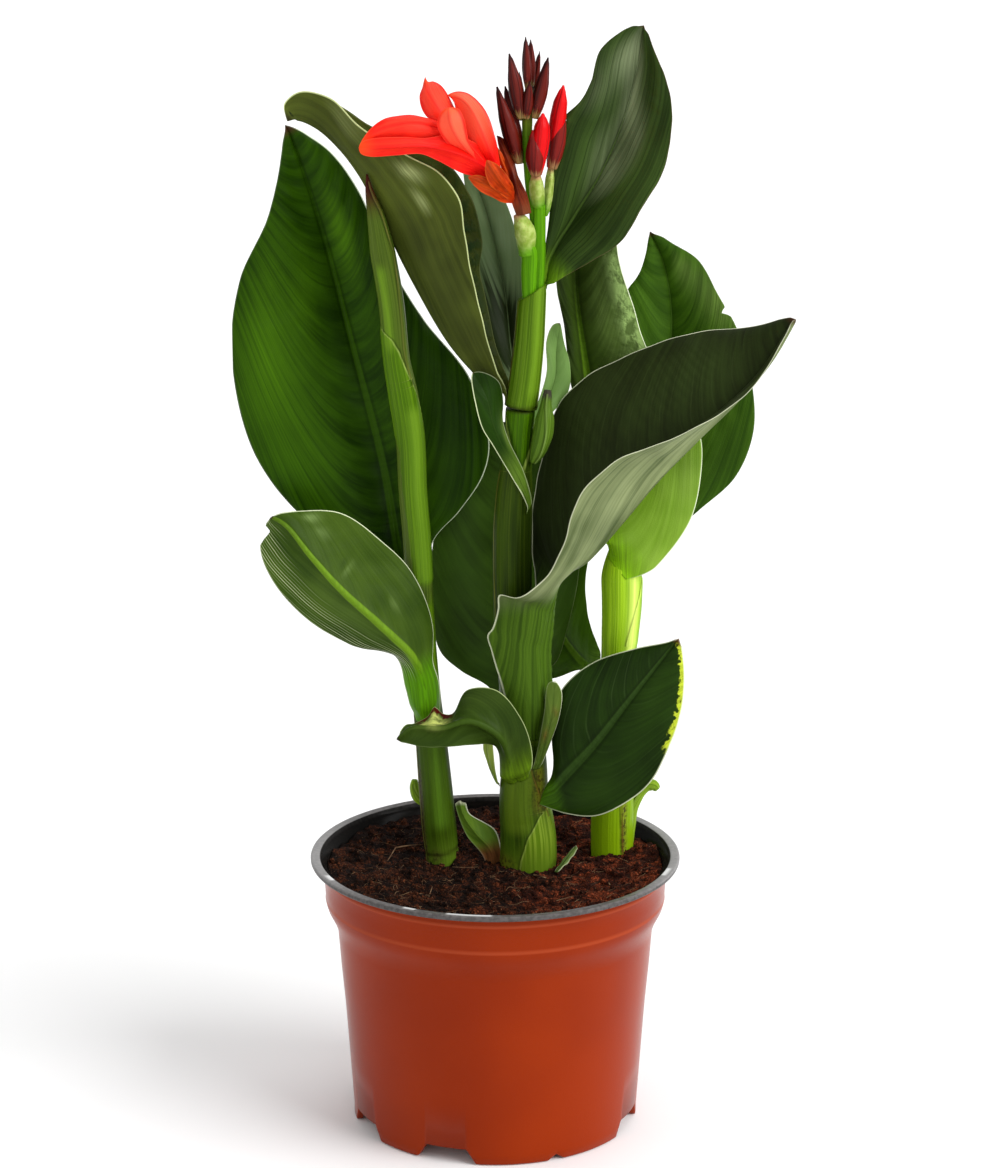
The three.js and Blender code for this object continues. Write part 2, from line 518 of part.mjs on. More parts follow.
// The middle surface of a blade as rows of points, foot to tip, left to right.
function bladeSurface(blade, rows, columns) {
  const [left, rib, right] = [blade.left, blade.rib, blade.right].map(curve);
  const arch = Array.isArray(blade.arch) ? blade.arch : [0, blade.arch, 0];
  const [height, count, phase] = blade.wave ?? [0, 1, 0];
  const face = blade.face ?? 1;
  return steps(rows, TIP_ROW).map((u) => {
    const [l, c, r] = [left, rib, right].map((line) => line.getPointAt(u));
    const upper = new THREE.Vector3().subVectors(r, l).normalize().cross(rib.getTangentAt(u))
      .normalize().multiplyScalar(face);
    return columns.map((side) => {
      const edge = side < 0 ? l : r;
      const out = Math.abs(side);
      const [nickSide, nickPlace, nickDepth] = blade.nick ?? [0, 0, 0];
      const nicked = Math.sign(side) === nickSide && Math.abs(u - nickPlace) < 0.5 / rows;
      const width = edge.distanceTo(c);
      const reach = nicked && out > 0.7 ? out - (nickDepth / width) * out : out;
      const ripple = height * Math.sin(2 * Math.PI * (count * u + phase + 0.35 * Math.sign(side)))
        * out ** 3 * Math.sin(Math.PI * u);
      const lift = along(arch, u) * 4 * out * (1 - out) + ripple;
      const point = c.clone().lerp(edge, reach).addScaledVector(upper, lift);
      return blade.clasps ? hug(point, blade.clasps, u === 0) : point;
    });
  });
}

// Normals of a grid of points, from the differences to the neighbours.
function gridNormals(grid, face) {
  const last = [grid.length - 1, grid[0].length - 1];
  return grid.map((row, i) => row.map((_, j) => {
    const up = new THREE.Vector3().subVectors(
      grid[Math.min(i + 1, last[0])][j], grid[Math.max(i - 1, 0)][j]);
    const over = new THREE.Vector3().subVectors(
      row[Math.min(j + 1, last[1])], row[Math.max(j - 1, 0)]);
    return over.cross(up).normalize().multiplyScalar(face);
  }));
}

// Moves the outer rows and columns of a grid of points outwards.
function widen(grid, by) {
  const [lastRow, lastColumn] = [grid.length - 1, grid[0].length - 1];
  const push = (point, inner) => point.add(
    new THREE.Vector3().subVectors(point, inner).setLength(by));
  grid.forEach((row) => {
    push(row[0], row[1]);
    push(row[lastColumn], row[lastColumn - 1]);
  });
  grid[0].forEach((point, j) => push(point, grid[1][j]));
  grid[lastRow].forEach((point, j) => push(point, grid[lastRow - 1][j]));
}

// A blade as a closed solid: its two faces are cut into triangles alike.
function bladeSolid(blade, { rows, columns, thickness, ribDepth = 0, grow = 0 }) {
  const middle = bladeSurface(blade, rows, columns);
  if (grow > 0) widen(middle, grow);
  const face = blade.face ?? 1;
  const normals = gridNormals(middle, face);
  const width = columns.length;
  const place = (sign) => middle.map((row, i) => row.map((point, j) => {
    const ridge = columns[j] === 0 && sign < 0 ? ribDepth * (1 - i / rows) : 0;
    return point.clone().addScaledVector(normals[i][j], sign * (thickness / 2 + ridge + grow));
  }));
  const points = [...place(1).flat(), ...place(-1).flat()];
  const under = (rows + 1) * width;
  const at = (i, j) => i * width + j;
  const triangles = [];
  const quad = (a, b, c, d) => triangles.push([a, b, c], [a, c, d]);
  for (let i = 0; i < rows; i += 1) {
    for (let j = 0; j + 1 < width; j += 1) {
      const corners = [at(i, j), at(i, j + 1), at(i + 1, j + 1), at(i + 1, j)];
      quad(...corners);
      const [a, b, c, d] = corners.map((corner) => corner + under);
      triangles.push([a, c, b], [a, d, c]);
    }
    quad(at(i, 0), at(i + 1, 0), at(i + 1, 0) + under, at(i, 0) + under);
    const edge = width - 1;
    quad(at(i, edge), at(i, edge) + under, at(i + 1, edge) + under, at(i + 1, edge));
  }
  for (let j = 0; j + 1 < width; j += 1) {
    quad(at(0, j), at(0, j) + under, at(0, j + 1) + under, at(0, j + 1));
    quad(at(rows, j), at(rows, j + 1), at(rows, j + 1) + under, at(rows, j) + under);
  }
  return solidOf(geometryOf(points, triangles));
}

const leafSolid = (leaf, grow = 0) => bladeSolid(leaf, leaf.small
  ? { ...SMALL_GRID, thickness: BLADE, grow }
  : { ...LEAF_GRID, thickness: BLADE, ribDepth: RIB_DEPTH, grow });
const petalSolid = (petal, grow = 0) => bladeSolid(petal,
  { ...PETAL_GRID, thickness: PETAL, grow });

// A pointed bud from its foot to its tip.
function budSolid([foot, tip, radius], grow = 0) {
  const shape = [0.45, 0.85, 1, 0.86, 0.5, 0.14];
  const path = shape.map((share, i) => {
    const point = vector(foot).lerp(vector(tip), i / (shape.length - 1));
    return [point.x, point.y, point.z, radius * share];
  });
  return taper(path, BUD_SIDES, { grow, rows: BUD_ROWS });
}

// ------------------------------------------------------------ the pieces

function potSolid() {
  const inner = POT_SIDE.slice(1).reverse().map(([radius, z]) => [radius - POT_WALL, z]);
  const floorTop = FLOOR_HEIGHT + FLOOR_THICKNESS;
  const skirt = BASE_RADIUS - SKIRT_WALL;
  const lip = POT_HEIGHT - RIM_THICKNESS;
  const profile = [
    [0, FLOOR_HEIGHT], [skirt, FLOOR_HEIGHT], [skirt, 0], [BASE_RADIUS, 0], ...POT_SIDE,
    [RIM_RADIUS - 0.8, lip - 1], [RIM_RADIUS, lip], [RIM_RADIUS, POT_HEIGHT],
    [RIM_INNER, POT_HEIGHT], ...inner, [BASE_RADIUS - POT_WALL, floorTop], [0, floorTop],
  ];
  const shell = new THREE.LatheGeometry(
    profile.map(([radius, z]) => new THREE.Vector2(radius, z)), POT_SEGMENTS);
  shell.rotateX(Math.PI / 2);
  let pot = solidOf(shell);
  for (let i = 0; i < NOTCH_COUNT; i += 1) {
    const turn = THREE.MathUtils.degToRad(NOTCH_PHASE + (360 / NOTCH_COUNT) * i);
    const [width, height] = i === 0
      ? [SMALL_NOTCH_WIDTH, SMALL_NOTCH_HEIGHT] : [NOTCH_WIDTH, NOTCH_HEIGHT];
    const notch = new THREE.BoxGeometry(width, NOTCH_DEPTH, 2 * height);
    notch.translate(0, -BASE_RADIUS, 0);
    notch.rotateZ(turn);
    const drain = new THREE.CylinderGeometry(DRAIN_RADIUS, DRAIN_RADIUS, 20, DRAIN_SIDES);
    drain.rotateX(Math.PI / 2);
    drain.translate(0, -DRAIN_CIRCLE, FLOOR_HEIGHT);
    drain.rotateZ(turn);
    pot = pot.subtract(solidOf(notch)).subtract(solidOf(drain));
  }
  return pot;
}

// Height of the peat over the level in the middle: low lumps, and the rise to the wall.
function soilRelief(x, y) {
  const lumps = 0.9 * Math.sin(x / 8 + 1) * Math.cos(y / 6.5) + 0.6 * Math.sin((x + 1.7 * y) / 9);
  return lumps + SOIL_RISE * (Math.hypot(x, y) / BASE_RADIUS) ** 3;
}

function soilSolid(holes) {
  const foot = FLOOR_HEIGHT + FLOOR_THICKNESS + GAP;
  const side = [[BASE_RADIUS, foot], ...POT_SIDE.slice(1)]
    .filter(([, z]) => z < SOIL_TOP)
    .map(([radius, z]) => [radius - POT_WALL - GAP, z]);
  const [edge] = side[side.length - 1];
  const profile = [
    [0, foot], ...side, ...[1, 0.84, 0.64, 0.44, 0.22, 0].map((share) => [edge * share, SOIL_TOP]),
  ];
  const peat = new THREE.LatheGeometry(
    profile.map(([radius, z]) => new THREE.Vector2(radius, z)), SOIL_SEGMENTS);
  peat.rotateX(Math.PI / 2);
  const points = peat.attributes.position;
  for (let i = 0; i < points.count; i += 1) {
    if (points.getZ(i) >= SOIL_TOP) {
      points.setZ(i, SOIL_TOP + soilRelief(points.getX(i), points.getY(i)));
    }
  }
  return cutAway(solidOf(peat), ...holes);
}

// The slanting cut that opens the top of the flower stalk's sheath.
function mouthCut(raise = 0) {
  const box = new THREE.BoxGeometry(MOUTH.size, MOUTH.size, MOUTH.size);
  box.translate(0, 0, MOUTH.size / 2 + raise);
  box.rotateY(THREE.MathUtils.degToRad(-MOUTH.tilt));
  box.translate(MOUTH.centre[0], MOUTH.centre[1], MOUTH.centre[2] - MOUTH.drop);
  return solidOf(box);
}

const stemSolid = (name, grow = 0) => taper(STEMS[name], STEM_SIDES, { grow });

// The spear's section is a spiral: its outer turn steps over the inner one, and the
// step runs down its front.
function spearSolid(grow = 0) {
  const seam = (u) => THREE.MathUtils.degToRad(
    u > SPEAR_SEAM.change ? SPEAR_SEAM.high : SPEAR_SEAM.low);
  const swell = (angle, u) => {
    const turn = ((angle - seam(u)) / (2 * Math.PI) + 2) % 1;
    return 1 + SPEAR_STEP * (turn - 0.5);
  };
  return taper(SPEAR, SPEAR_SIDES, { grow, swell, rows: SPEAR_ROWS });
}

function build() {
  const solids = {};
  const add = (name, finish, solid) => {
    solids[name] = { finish, solid };
  };
  const airStems = Object.fromEntries(
    Object.keys(STEMS).map((name) => [name, stemSolid(name, GAP)]));

  // Stems, and what stands in their tops
  add('stem_left', 'stem', stemSolid('stem_left'));
  add('stem_middle', 'stem', stemSolid('stem_middle'));
  add('stem_upper', 'sheath', cutAway(stemSolid('stem_upper'), mouthCut()));
  add('stem_right', 'stem', stemSolid('stem_right'));
  add('leaf_spear', 'light_leaf', spearSolid());
  const airSpear = spearSolid(GAP);
  airStems.stem_upper = airStems.stem_upper.subtract(mouthCut(GAP));

  // Leaves and the loose ends of sheaths
  const stemTools = Object.values(airStems);
  const flaps = Object.entries({ ...LEAVES, ...FLAPS });
  flaps.forEach(([name, leaf]) => {
    add(name, leaf.finish, cutAway(leafSolid(leaf), ...stemTools, airSpear));
  });
  Object.entries(SIDE_GROWTHS).forEach(([name, { finish, path }]) => {
    add(name, finish, cutAway(taper(path, OVARY_SIDES), ...stemTools));
  });

  // The spike: stalks and rachis grew as one
  const spike = (grow) => fused(SPIKE.map((path) => taper(path, OVARY_SIDES, { grow })));
  add('spike_axis', 'stem', cutAway(spike(0), airStems.stem_upper));
  const airSpike = spike(GAP);
  const ovary = (name, grow) => taper(OVARIES[name], OVARY_SIDES, { grow });
  Object.keys(OVARIES).forEach((name) => {
    add(name, 'ovary', cutAway(ovary(name, 0), airSpike));
  });
  const airOvaries = Object.keys(OVARIES).map((name) => ovary(name, GAP));

  // Buds, each clear of those before it
  const placed = [airSpike, ...airOvaries];
  Object.entries(BUDS).forEach(([name, bud]) => {
    add(name, RED_BUDS.includes(name) ? 'petal' : 'bud', cutAway(budSolid(bud), ...placed));
    placed.push(budSolid(bud, GAP));
  });
  Object.entries(BUD_BRACTS).forEach(([name, bract]) => {
    add(name, 'bud', cutAway(budSolid(bract), ...placed));
  });

  // The open flower
  const petals = (grow) => fused(PETALS.map((petal) => petalSolid(petal, grow)));
  const sepals = (grow) => fused(SEPALS.map((sepal) => petalSolid(sepal, grow)));
  add('flower_petals', 'petal', cutAway(petals(0), ...placed));
  add('flower_sepals', 'sepal', cutAway(sepals(0), petals(GAP), ...placed));
  add('flower_bract', 'bud',
    cutAway(petalSolid(FLOWER_BRACT), petals(GAP), sepals(GAP), ...placed));

  // Pot, soil and what lies on it
  add('pot', 'pot', potSolid());
  const stub = taper(SIDE_GROWTHS.stub_right.path, OVARY_SIDES, { grow: GAP });
  const roots = [...stemTools, stub, leafSolid(FLAPS.cut_sheath, GAP)];
  add('soil', 'soil', soilSolid(roots));
  add('leaf_scrap', 'light_leaf', petalSolid(SCRAP));
  return solids;
}

const canna = new THREE.Group();
canna.name = 'potted_canna';
Object.entries(build()).forEach(([name, { finish, solid }]) => {
  const material = new THREE.MeshStandardMaterial({ metalness: 0, ...FINISH[finish] });
  const mesh = new THREE.Mesh(geometryFrom(solid), material);
  mesh.name = name;
  canna.add(mesh);
});

// The origin goes to the bottom centre of the whole plant's box.
const box = new THREE.Box3().setFromObject(canna);
const middle = box.getCenter(new THREE.Vector3());
canna.position.set(-middle.x, -middle.y, -box.min.z);
canna.updateMatrixWorld(true);

export default canna;
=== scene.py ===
"""Looks of the potted canna lily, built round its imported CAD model.

Tables are in millimetres with the pot's axis at x = y = 0, as in the part's source;
make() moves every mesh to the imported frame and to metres.
"""

import math

import bpy
import numpy as np
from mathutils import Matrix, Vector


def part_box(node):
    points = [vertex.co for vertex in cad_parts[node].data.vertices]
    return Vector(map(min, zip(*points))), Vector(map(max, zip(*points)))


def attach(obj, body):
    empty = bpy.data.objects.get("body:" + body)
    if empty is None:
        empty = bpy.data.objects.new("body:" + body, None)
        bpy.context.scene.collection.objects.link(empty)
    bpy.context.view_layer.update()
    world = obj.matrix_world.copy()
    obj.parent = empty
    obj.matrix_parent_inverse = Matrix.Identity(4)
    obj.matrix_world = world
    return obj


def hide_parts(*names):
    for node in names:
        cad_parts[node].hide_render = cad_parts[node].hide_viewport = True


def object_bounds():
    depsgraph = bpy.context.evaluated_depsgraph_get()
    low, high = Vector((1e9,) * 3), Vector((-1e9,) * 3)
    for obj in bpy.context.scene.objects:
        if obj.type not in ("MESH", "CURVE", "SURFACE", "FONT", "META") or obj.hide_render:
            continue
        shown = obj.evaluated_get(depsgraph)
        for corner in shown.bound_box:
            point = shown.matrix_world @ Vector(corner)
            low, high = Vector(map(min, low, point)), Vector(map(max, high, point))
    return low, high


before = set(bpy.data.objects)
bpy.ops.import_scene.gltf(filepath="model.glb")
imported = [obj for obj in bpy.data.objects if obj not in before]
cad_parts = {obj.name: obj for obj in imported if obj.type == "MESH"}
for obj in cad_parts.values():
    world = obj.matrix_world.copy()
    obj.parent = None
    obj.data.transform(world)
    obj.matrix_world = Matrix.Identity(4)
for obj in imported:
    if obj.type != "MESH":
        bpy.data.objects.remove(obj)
CAD_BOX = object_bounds()

MM = 0.001
POT_LOW, POT_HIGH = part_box("pot")
SHIFT = np.array([(POT_LOW[0] + POT_HIGH[0]) / 2, (POT_LOW[1] + POT_HIGH[1]) / 2, 0.0]) / MM
BOX_LOW, BOX_HIGH = (np.array(corner) / MM - SHIFT for corner in CAD_BOX)
RANDOM = np.random.default_rng(7)

# ------------------------------------------------------------ dimensions shared with the part

FOOT = 95             # height of the stems' feet, down in the peat
SOIL_TOP = 130
SOIL_RISE = 3.6       # how much higher the peat stands at the wall
BASE_RADIUS = 73.8
SKIRT_WALL = 3.3      # thickness of the base ring under the pot's floor
FLOOR_HEIGHT = 8
FLOOR_TOP = 10.2
NOTCH_COUNT = 8
NOTCH_PHASE = 25      # degrees from the front to the first notch

# Round pieces are paths of [x, y, z, radius].
STEMS = {
    "stem_left": [
        [-24, 22, FOOT, 7.5], [-27, 22, 128, 8.4], [-29, 22, 148, 9], [-31, 22, 172, 8.6],
        [-33, 22, 196, 8], [-35, 22, 217, 7.3], [-37, 22, 244, 7], [-39, 22, 279, 7],
    ],
    "stem_middle": [
        [17, 18, FOOT, 14.5], [17, 18, 124, 15], [17, 18, 144, 14.5], [15, 18, 164, 13],
        [15, 18, 183, 11.9], [14, 18, 204, 10.8], [12, 18, 229, 10.3], [10, 17, 250, 10],
        [9, 17, 277, 9.9], [9, 16, 309, 9.9], [10, 16, 330, 9.3], [11, 15, 345, 7.7],
        [12, 15, 359, 7.3], [13, 15, 372, 7.9],
    ],
    "stem_upper": [
        [13, 15, 373.2, 8.1], [15, 15, 387, 7.8], [17, 15, 407, 7.5], [18, 15, 423, 7.2],
        [19, 15, 436, 6.6],
    ],
    "stem_right": [
        [60, 30, FOOT, 10.5], [61, 30, 125, 11], [61, 31, 149, 11], [62, 32, 176, 10.4],
        [64, 32, 209, 9.6], [64, 32, 241, 9.2], [65, 33, 264, 10.2], [65, 33, 280, 10.7],
        [65, 34.5, 288, 9], [64.5, 36, 294, 6.4], [64, 37, 298, 3.2], [64, 37, 299, 1],
    ],
}
SPEAR = [
    [-38.5, 22, 268, 7.05], [-39, 22, 280, 7.15], [-40, 22, 302, 7.1], [-42, 21, 329, 7.1],
    [-43, 20, 355, 7.3], [-46, 19, 378, 7.5], [-49, 17, 396, 6.6], [-52, 15, 428, 6.5],
    [-56, 13, 453, 6.3], [-59, 11, 471, 4.4], [-62, 9, 484, 2], [-63, 8, 492, 0.5],
]

# Blades, as in the part: left margin, rib and right margin from foot to tip.
# face turns the upper side about; arch raises the halves along the blade; wave is [height,
# count, phase]; nick is [side, place, depth, half width]. Side veins lean to the tip by slope
# and bend, or follow the margin by the share run; pitch and pleat are their folds' width and
# height. A pair is for the left and right half. look names the entry in LOOKS.
PLAIN_BLADE = {"face": 1, "clasps": None, "arch": [0, 2, 3, 3, 2, 1], "wave": [0, 1, 0],
               "slope": (0.2, 0.2), "bend": 1.6, "run": 0, "pitch": 9, "pleat": 0.1,
               "painted_light": (), "spot_and_sheen": ()}
LEAVES = {
    "leaf_left_large": {
        "slot": "mid_leaf", "look": "broad", "clasps": "stem_left",
        "arch": [0, 3, 5, 5, 3, 1], "wave": [1.6, 4, 0.1], "slope": (0.034, 0.036), "bend": 2,
        "pitch": 17, "pleat": 0.45,
        "left": [[-41, 27, 247], [-47, 32, 275], [-59, 36, 287], [-85, 38, 300], [-105, 40, 316],
                 [-125, 42, 347], [-134, 42, 397], [-129, 45, 432], [-115, 48, 463],
                 [-107, 52, 499], [-107, 54, 513]],
        "rib": [[-38, 29, 244], [-44, 34, 267], [-50, 42, 292], [-58, 52, 336], [-73, 60, 395],
                [-86, 62, 447], [-99, 58, 491], [-107, 54, 513]],
        "right": [[-35, 31, 246], [-33, 34, 272], [-32, 36, 297], [-18, 40, 313], [-6, 44, 331],
                  [-3, 47, 348], [-13, 52, 380], [-36, 56, 409], [-53, 58, 437], [-69, 60, 475],
                  [-83, 59, 495], [-96, 57, 505], [-107, 54, 513]],
    },
    "leaf_left_small": {
        "slot": "mid_leaf", "look": "small_left", "clasps": "stem_left", "face": -1,
        "arch": [-4, -2, -1, 1, 2, 1], "wave": [0.8, 5, 0.3], "nick": [-1, 0.93, 5, 0.035],
        "slope": (0.4, 0.3), "run": (0.72, 0.3), "pleat": 0.25,
        "left": [[-42, 17, 207], [-46, 14, 226], [-51, 9, 244], [-74, 4, 252], [-98, 0, 269],
                 [-113, -3, 289], [-118, -4, 305], [-114, -4, 322]],
        "rib": [[-35, 12, 207], [-37, 10, 231], [-43, 2, 247], [-58, -3, 264], [-78, -6, 284],
                [-93, -7, 302], [-105, -6, 317], [-114, -4, 322]],
        "right": [[-28, 17, 209], [-29, 16, 228], [-32, 13, 241], [-32, 12, 261], [-42, 10, 288],
                  [-57, 8, 305], [-78, 4, 321], [-98, 0, 323], [-114, -4, 322]],
    },
    "leaf_low_left": {
        "slot": "mid_leaf", "look": "curled", "clasps": "stem_middle", "face": -1,
        "arch": [-3, -1, 1, 2, 2, 1], "wave": [0.6, 3, 0], "slope": (0.3, 0.3), "pitch": 12,
        "pleat": 0.15,
        "left": [[3, 6, 176], [0, 0, 199], [-13, -8, 202], [-32, -12, 202], [-51, -10, 205]],
        "rib": [[10, 2, 178], [6, -4, 198], [1, -9, 208], [-13, -12, 216], [-28, -14, 213],
                [-42, -13, 213], [-51, -10, 205]],
        "right": [[18, 2, 180], [19, -4, 197], [14, -6, 214], [1, -4, 230], [-14, 0, 229],
                  [-22, 4, 215], [-27, 6, 214.5], [-31, 7, 217.6], [-34, 6, 213], [-41, 3, 210],
                  [-46, -3, 211], [-51, -10, 205]],
    },
    "leaf_trough": {
        "slot": "dark_leaf", "look": "trough", "clasps": "stem_middle", "face": -1,
        "arch": [-9, -8, -3, 1, 3, 1], "wave": [1.8, 4, 0.55], "slope": (0.4, 0.07),
        "run": (0.8, 0), "pitch": 6, "pleat": 0.22,
        "left": [[6, 6, 200], [5.6, 6, 219], [3.5, 5, 228], [-2.6, 3, 249], [-4.2, 2, 257.4],
                 [-1.4, 1.5, 261], [2, 0, 272], [3, -1, 278.6], [11.6, -8, 279.6],
                 [17.6, -12, 284], [25, -17, 294.5], [35, -26, 317], [44, -34, 340],
                 [61, -38, 360], [87, -36, 369], [107, -28, 376], [127, -12, 389], [152, 12, 422]],
        "rib": [[26, 15, 198], [25, 14, 219], [25, 14, 246], [28, 12, 268], [33, 8, 286],
                [47, 2, 298], [63, -4, 318], [80, -8, 340], [102, -8, 363], [119, -4, 379],
                [137, 4, 398], [152, 12, 422]],
        "right": [[19, 27, 198], [19, 27, 220], [19, 28, 247], [20, 29, 273], [20, 31, 299],
                  [20, 32, 326], [23, 31, 346], [30, 30, 365], [48, 30, 386], [73, 30, 400],
                  [103, 29, 408], [130, 22, 413], [152, 12, 422]],
    },
    "leaf_low_right": {
        "slot": "dark_leaf", "look": "yellow_edge", "clasps": "stem_middle",
        "wave": [0.9, 3, 0.2], "pitch": 13, "pleat": 0.2,
        "left": [[26, 9, 171], [30, 12, 183], [29, 11, 209], [35, 10, 227], [49, 7, 241],
                 [71, 3, 250], [89, -1, 255], [94, -2, 258]],
        "rib": [[26, 6, 168], [36, 4, 181], [51, 2, 199], [66, 0, 220], [81, -2, 241],
                [94, -2, 258]],
        "right": [[26, 3, 165], [37, -2, 163], [52, -8, 164], [67, -13, 173], [79, -16, 185],
                  [88, -17, 203], [94, -14, 222], [96, -8, 239], [94, -2, 258]],
    },
    "leaf_behind": {
        "slot": "dark_leaf", "look": "shade", "clasps": "stem_middle",
        "wave": [1.2, 3, 0.4], "slope": (0.12, 0.12), "pleat": 0.15,
        "left": [[7, 29, 206], [-3, 36, 219], [-18, 44, 226], [-29, 48, 236], [-33, 52, 262],
                 [-32, 55, 293], [-23, 58, 325], [-10, 60, 345], [1, 60, 357]],
        "rib": [[10, 30, 203], [10, 40, 233], [9, 50, 262], [7, 58, 298], [4, 62, 334],
                [1, 60, 357]],
        "right": [[13, 30, 206], [24, 39, 225], [32, 44, 231], [38, 50, 249], [43, 54, 272],
                  [44, 57, 295], [38, 60, 324], [21, 61, 350], [1, 60, 357]],
    },
    "leaf_between": {
        "slot": "mid_leaf", "look": "between", "clasps": "stem_right",
        "arch": [0, 2, 2, 2, 1, 1], "wave": [0.9, 3, 0.7], "slope": (0.14, 0.14), "pleat": 0.15,
        "left": [[55, 34, 227], [44, 45, 226], [27, 60, 217], [14, 68, 226], [7, 72, 249],
                 [7, 74, 281], [16, 75, 321], [27, 74, 348]],
        "rib": [[55, 33, 230], [48, 44, 229], [36, 59, 240], [28, 69, 258], [23, 75, 289],
                [25, 77, 321], [27, 74, 348]],
        "right": [[56, 32, 235], [53, 38, 242], [48, 49, 254], [47, 58, 267], [49, 64, 284],
                  [48, 68, 307], [40, 72, 335], [27, 74, 348]],
    },
    "leaf_arching": {
        "slot": "mid_leaf", "look": "arching", "clasps": "stem_upper",
        "arch": [-1, -2, -4, -4, -3, 0], "wave": [1, 3, 0.2], "slope": (0.5, 0.3), "run": 0.8,
        "pitch": 7, "pleat": 0.15,
        "left": [[5, 12, 377], [2, 12, 389], [-4, 5, 409], [-9, -4, 437], [-15, -9, 465],
                 [-19, -9, 484], [-28, -7, 496], [-47, -3, 506], [-66, 1, 516], [-81, 4, 530],
                 [-95, 6, 533], [-103, 7, 527], [-104, 7, 517]],
        "rib": [[4, 18, 376], [-2, 18, 384], [-9, 17, 391], [-22, 15, 407], [-40, 15, 438],
                [-55, 16, 468], [-66, 15, 490], [-77, 13, 505], [-88, 11, 515], [-98, 9, 519],
                [-104, 7, 517]],
        "right": [[6, 23, 376], [5, 26, 388], [0, 32, 403], [-5, 38, 423], [-8, 40, 437],
                  [-6, 42, 453], [-9, 42, 469], [-18, 40, 485], [-35, 35, 500], [-61, 24, 514],
                  [-79, 15, 526], [-93, 10, 531], [-101, 8, 527], [-104, 7, 517]],
    },
    "leaf_behind_flower": {
        "slot": "light_leaf", "look": "grey", "clasps": "stem_upper",
        "arch": [0, 1, 1, 1, 1, 0], "wave": [0.6, 2, 0], "slope": (0.4, 0.4), "run": 0.7,
        "pitch": 7, "pleat": 0.08,
        "left": [[9, 25, 376], [-2, 42, 399], [-7, 52, 426], [-11, 56, 453], [-15, 56, 476],
                 [-17, 54, 494]],
        "rib": [[12, 26, 376], [8, 46, 398], [5, 58, 424], [-1, 62, 452], [-8, 60, 475],
                [-17, 54, 494]],
        "right": [[15, 25, 377], [16, 42, 399], [15, 50, 426], [11, 54, 453], [2, 56, 476],
                  [-17, 54, 494]],
    },
    "leaf_bract": {
        "slot": "mid_leaf", "look": "bract", "clasps": "stem_middle",
        "arch": [-1, -1, 0, 0, 0, 0], "slope": (0.8, 0.8), "pitch": 12, "pleat": 0.08,
        "left": [[18, 6, 319], [15, 6, 327], [8, 6, 339.6], [-1, 5, 355.3], [-6.5, 4, 364.8],
                 [-10, 3, 378.3], [-11.7, 4, 388.3], [-11.8, 7, 393.4]],
        "rib": [[18.3, 5.6, 319.5], [16.6, 5, 328], [11, 5, 341.4], [3, 5, 356.8],
                [-1, 5, 366.6], [-4, 6, 378.7], [-8, 7, 387.4], [-11.8, 7, 393.4]],
        "right": [[18.6, 6, 320], [18.1, 6, 328.2], [14.1, 6, 342.7], [7, 6, 358], [4, 9, 367.7],
                  [4, 12, 377.3], [2, 11, 386.8], [-4.5, 8, 392], [-11.8, 7, 393.4]],
    },
    "leaf_node": {
        "slot": "light_leaf", "look": "pale", "clasps": "stem_middle",
        "arch": [0, 1, 1, 1, 0, 0], "slope": (0.5, 0.5), "pitch": 12, "pleat": 0.08,
        "left": [[19, 22, 366], [26, 32, 387], [26, 37, 402], [29, 38, 410], [33, 38, 412]],
        "rib": [[20, 22, 363], [30, 36, 383], [31, 40, 397], [33, 38, 412]],
        "right": [[22, 20, 362], [37, 36, 376], [38, 40, 389], [35, 40, 401], [33, 38, 412]],
    },
    "leaf_light": {
        "slot": "light_leaf", "look": "shaded_top", "clasps": "stem_right",
        "wave": [1.6, 5, 0.2], "slope": (0.3, 0.2), "pitch": 12, "pleat": 0.5,
        "left": [[56, 28, 290], [53, 32, 305], [49, 42, 329], [44, 50, 358], [39, 51, 376],
                 [35, 50, 408], [31, 49, 431], [33, 48, 457], [39, 48, 477], [47, 49, 490]],
        "rib": [[59, 24, 288], [57, 27, 302], [55, 38, 318], [52, 52, 342], [47, 58, 380],
                [41, 58, 427], [42, 54, 461], [47, 49, 490]],
        "right": [[67, 21, 281], [76, 21, 283], [89, 27, 294], [100, 32, 310], [105, 36, 331],
                  [105, 40, 352], [92, 45, 378], [77, 48, 397], [70, 48, 419], [63, 48, 441],
                  [59, 49, 467], [47, 49, 490]],
    },
    "leaf_back_right": {
        "slot": "mid_leaf", "look": "back", "clasps": "stem_right",
        "wave": [1.2, 3, 0.6], "nick": [1, 0.74, 4, 0.012],
        "slope": (0.05, 0.05), "bend": 2, "pitch": 19, "pleat": 0.5,
        "left": [[60, 42, 266], [59, 50, 300], [58, 60, 340], [60, 66, 381], [65, 69, 417],
                 [74, 70, 431], [78, 70, 446], [78, 69, 455]],
        "rib": [[63, 43, 265], [71, 52, 294], [81, 66, 333], [89, 74, 374], [91, 76, 410],
                [86, 73, 437], [78, 69, 455]],
        "right": [[68, 41, 267], [85, 46, 293], [106, 54, 310], [124, 58, 326], [133, 61, 348],
                  [133, 63, 370], [125, 65, 401], [114, 66, 421], [104, 67, 438], [90, 68, 447],
                  [78, 69, 455]],
    },
    "leaf_upper_right": {
        "slot": "dark_leaf", "look": "upper", "clasps": "stem_upper",
        "arch": [0, 2, 4, 4, 2, 1], "wave": [1.6, 4, 0.3], "nick": [-1, 0.56, 3, 0.01],
        "slope": (0.38, 0.38), "run": 0.78, "pitch": 5.5, "pleat": 0.28,
        "left": [[22, 19, 435], [24, 20, 446], [27, 21, 470], [29, 22, 494], [33, 22, 516],
                 [42, 21, 526], [47, 20, 536], [52, 18, 552], [62, 16, 561], [73, 14, 566]],
        "rib": [[25, 18, 432], [28, 22, 448], [40, 27, 468], [53, 30, 489], [63, 30, 513],
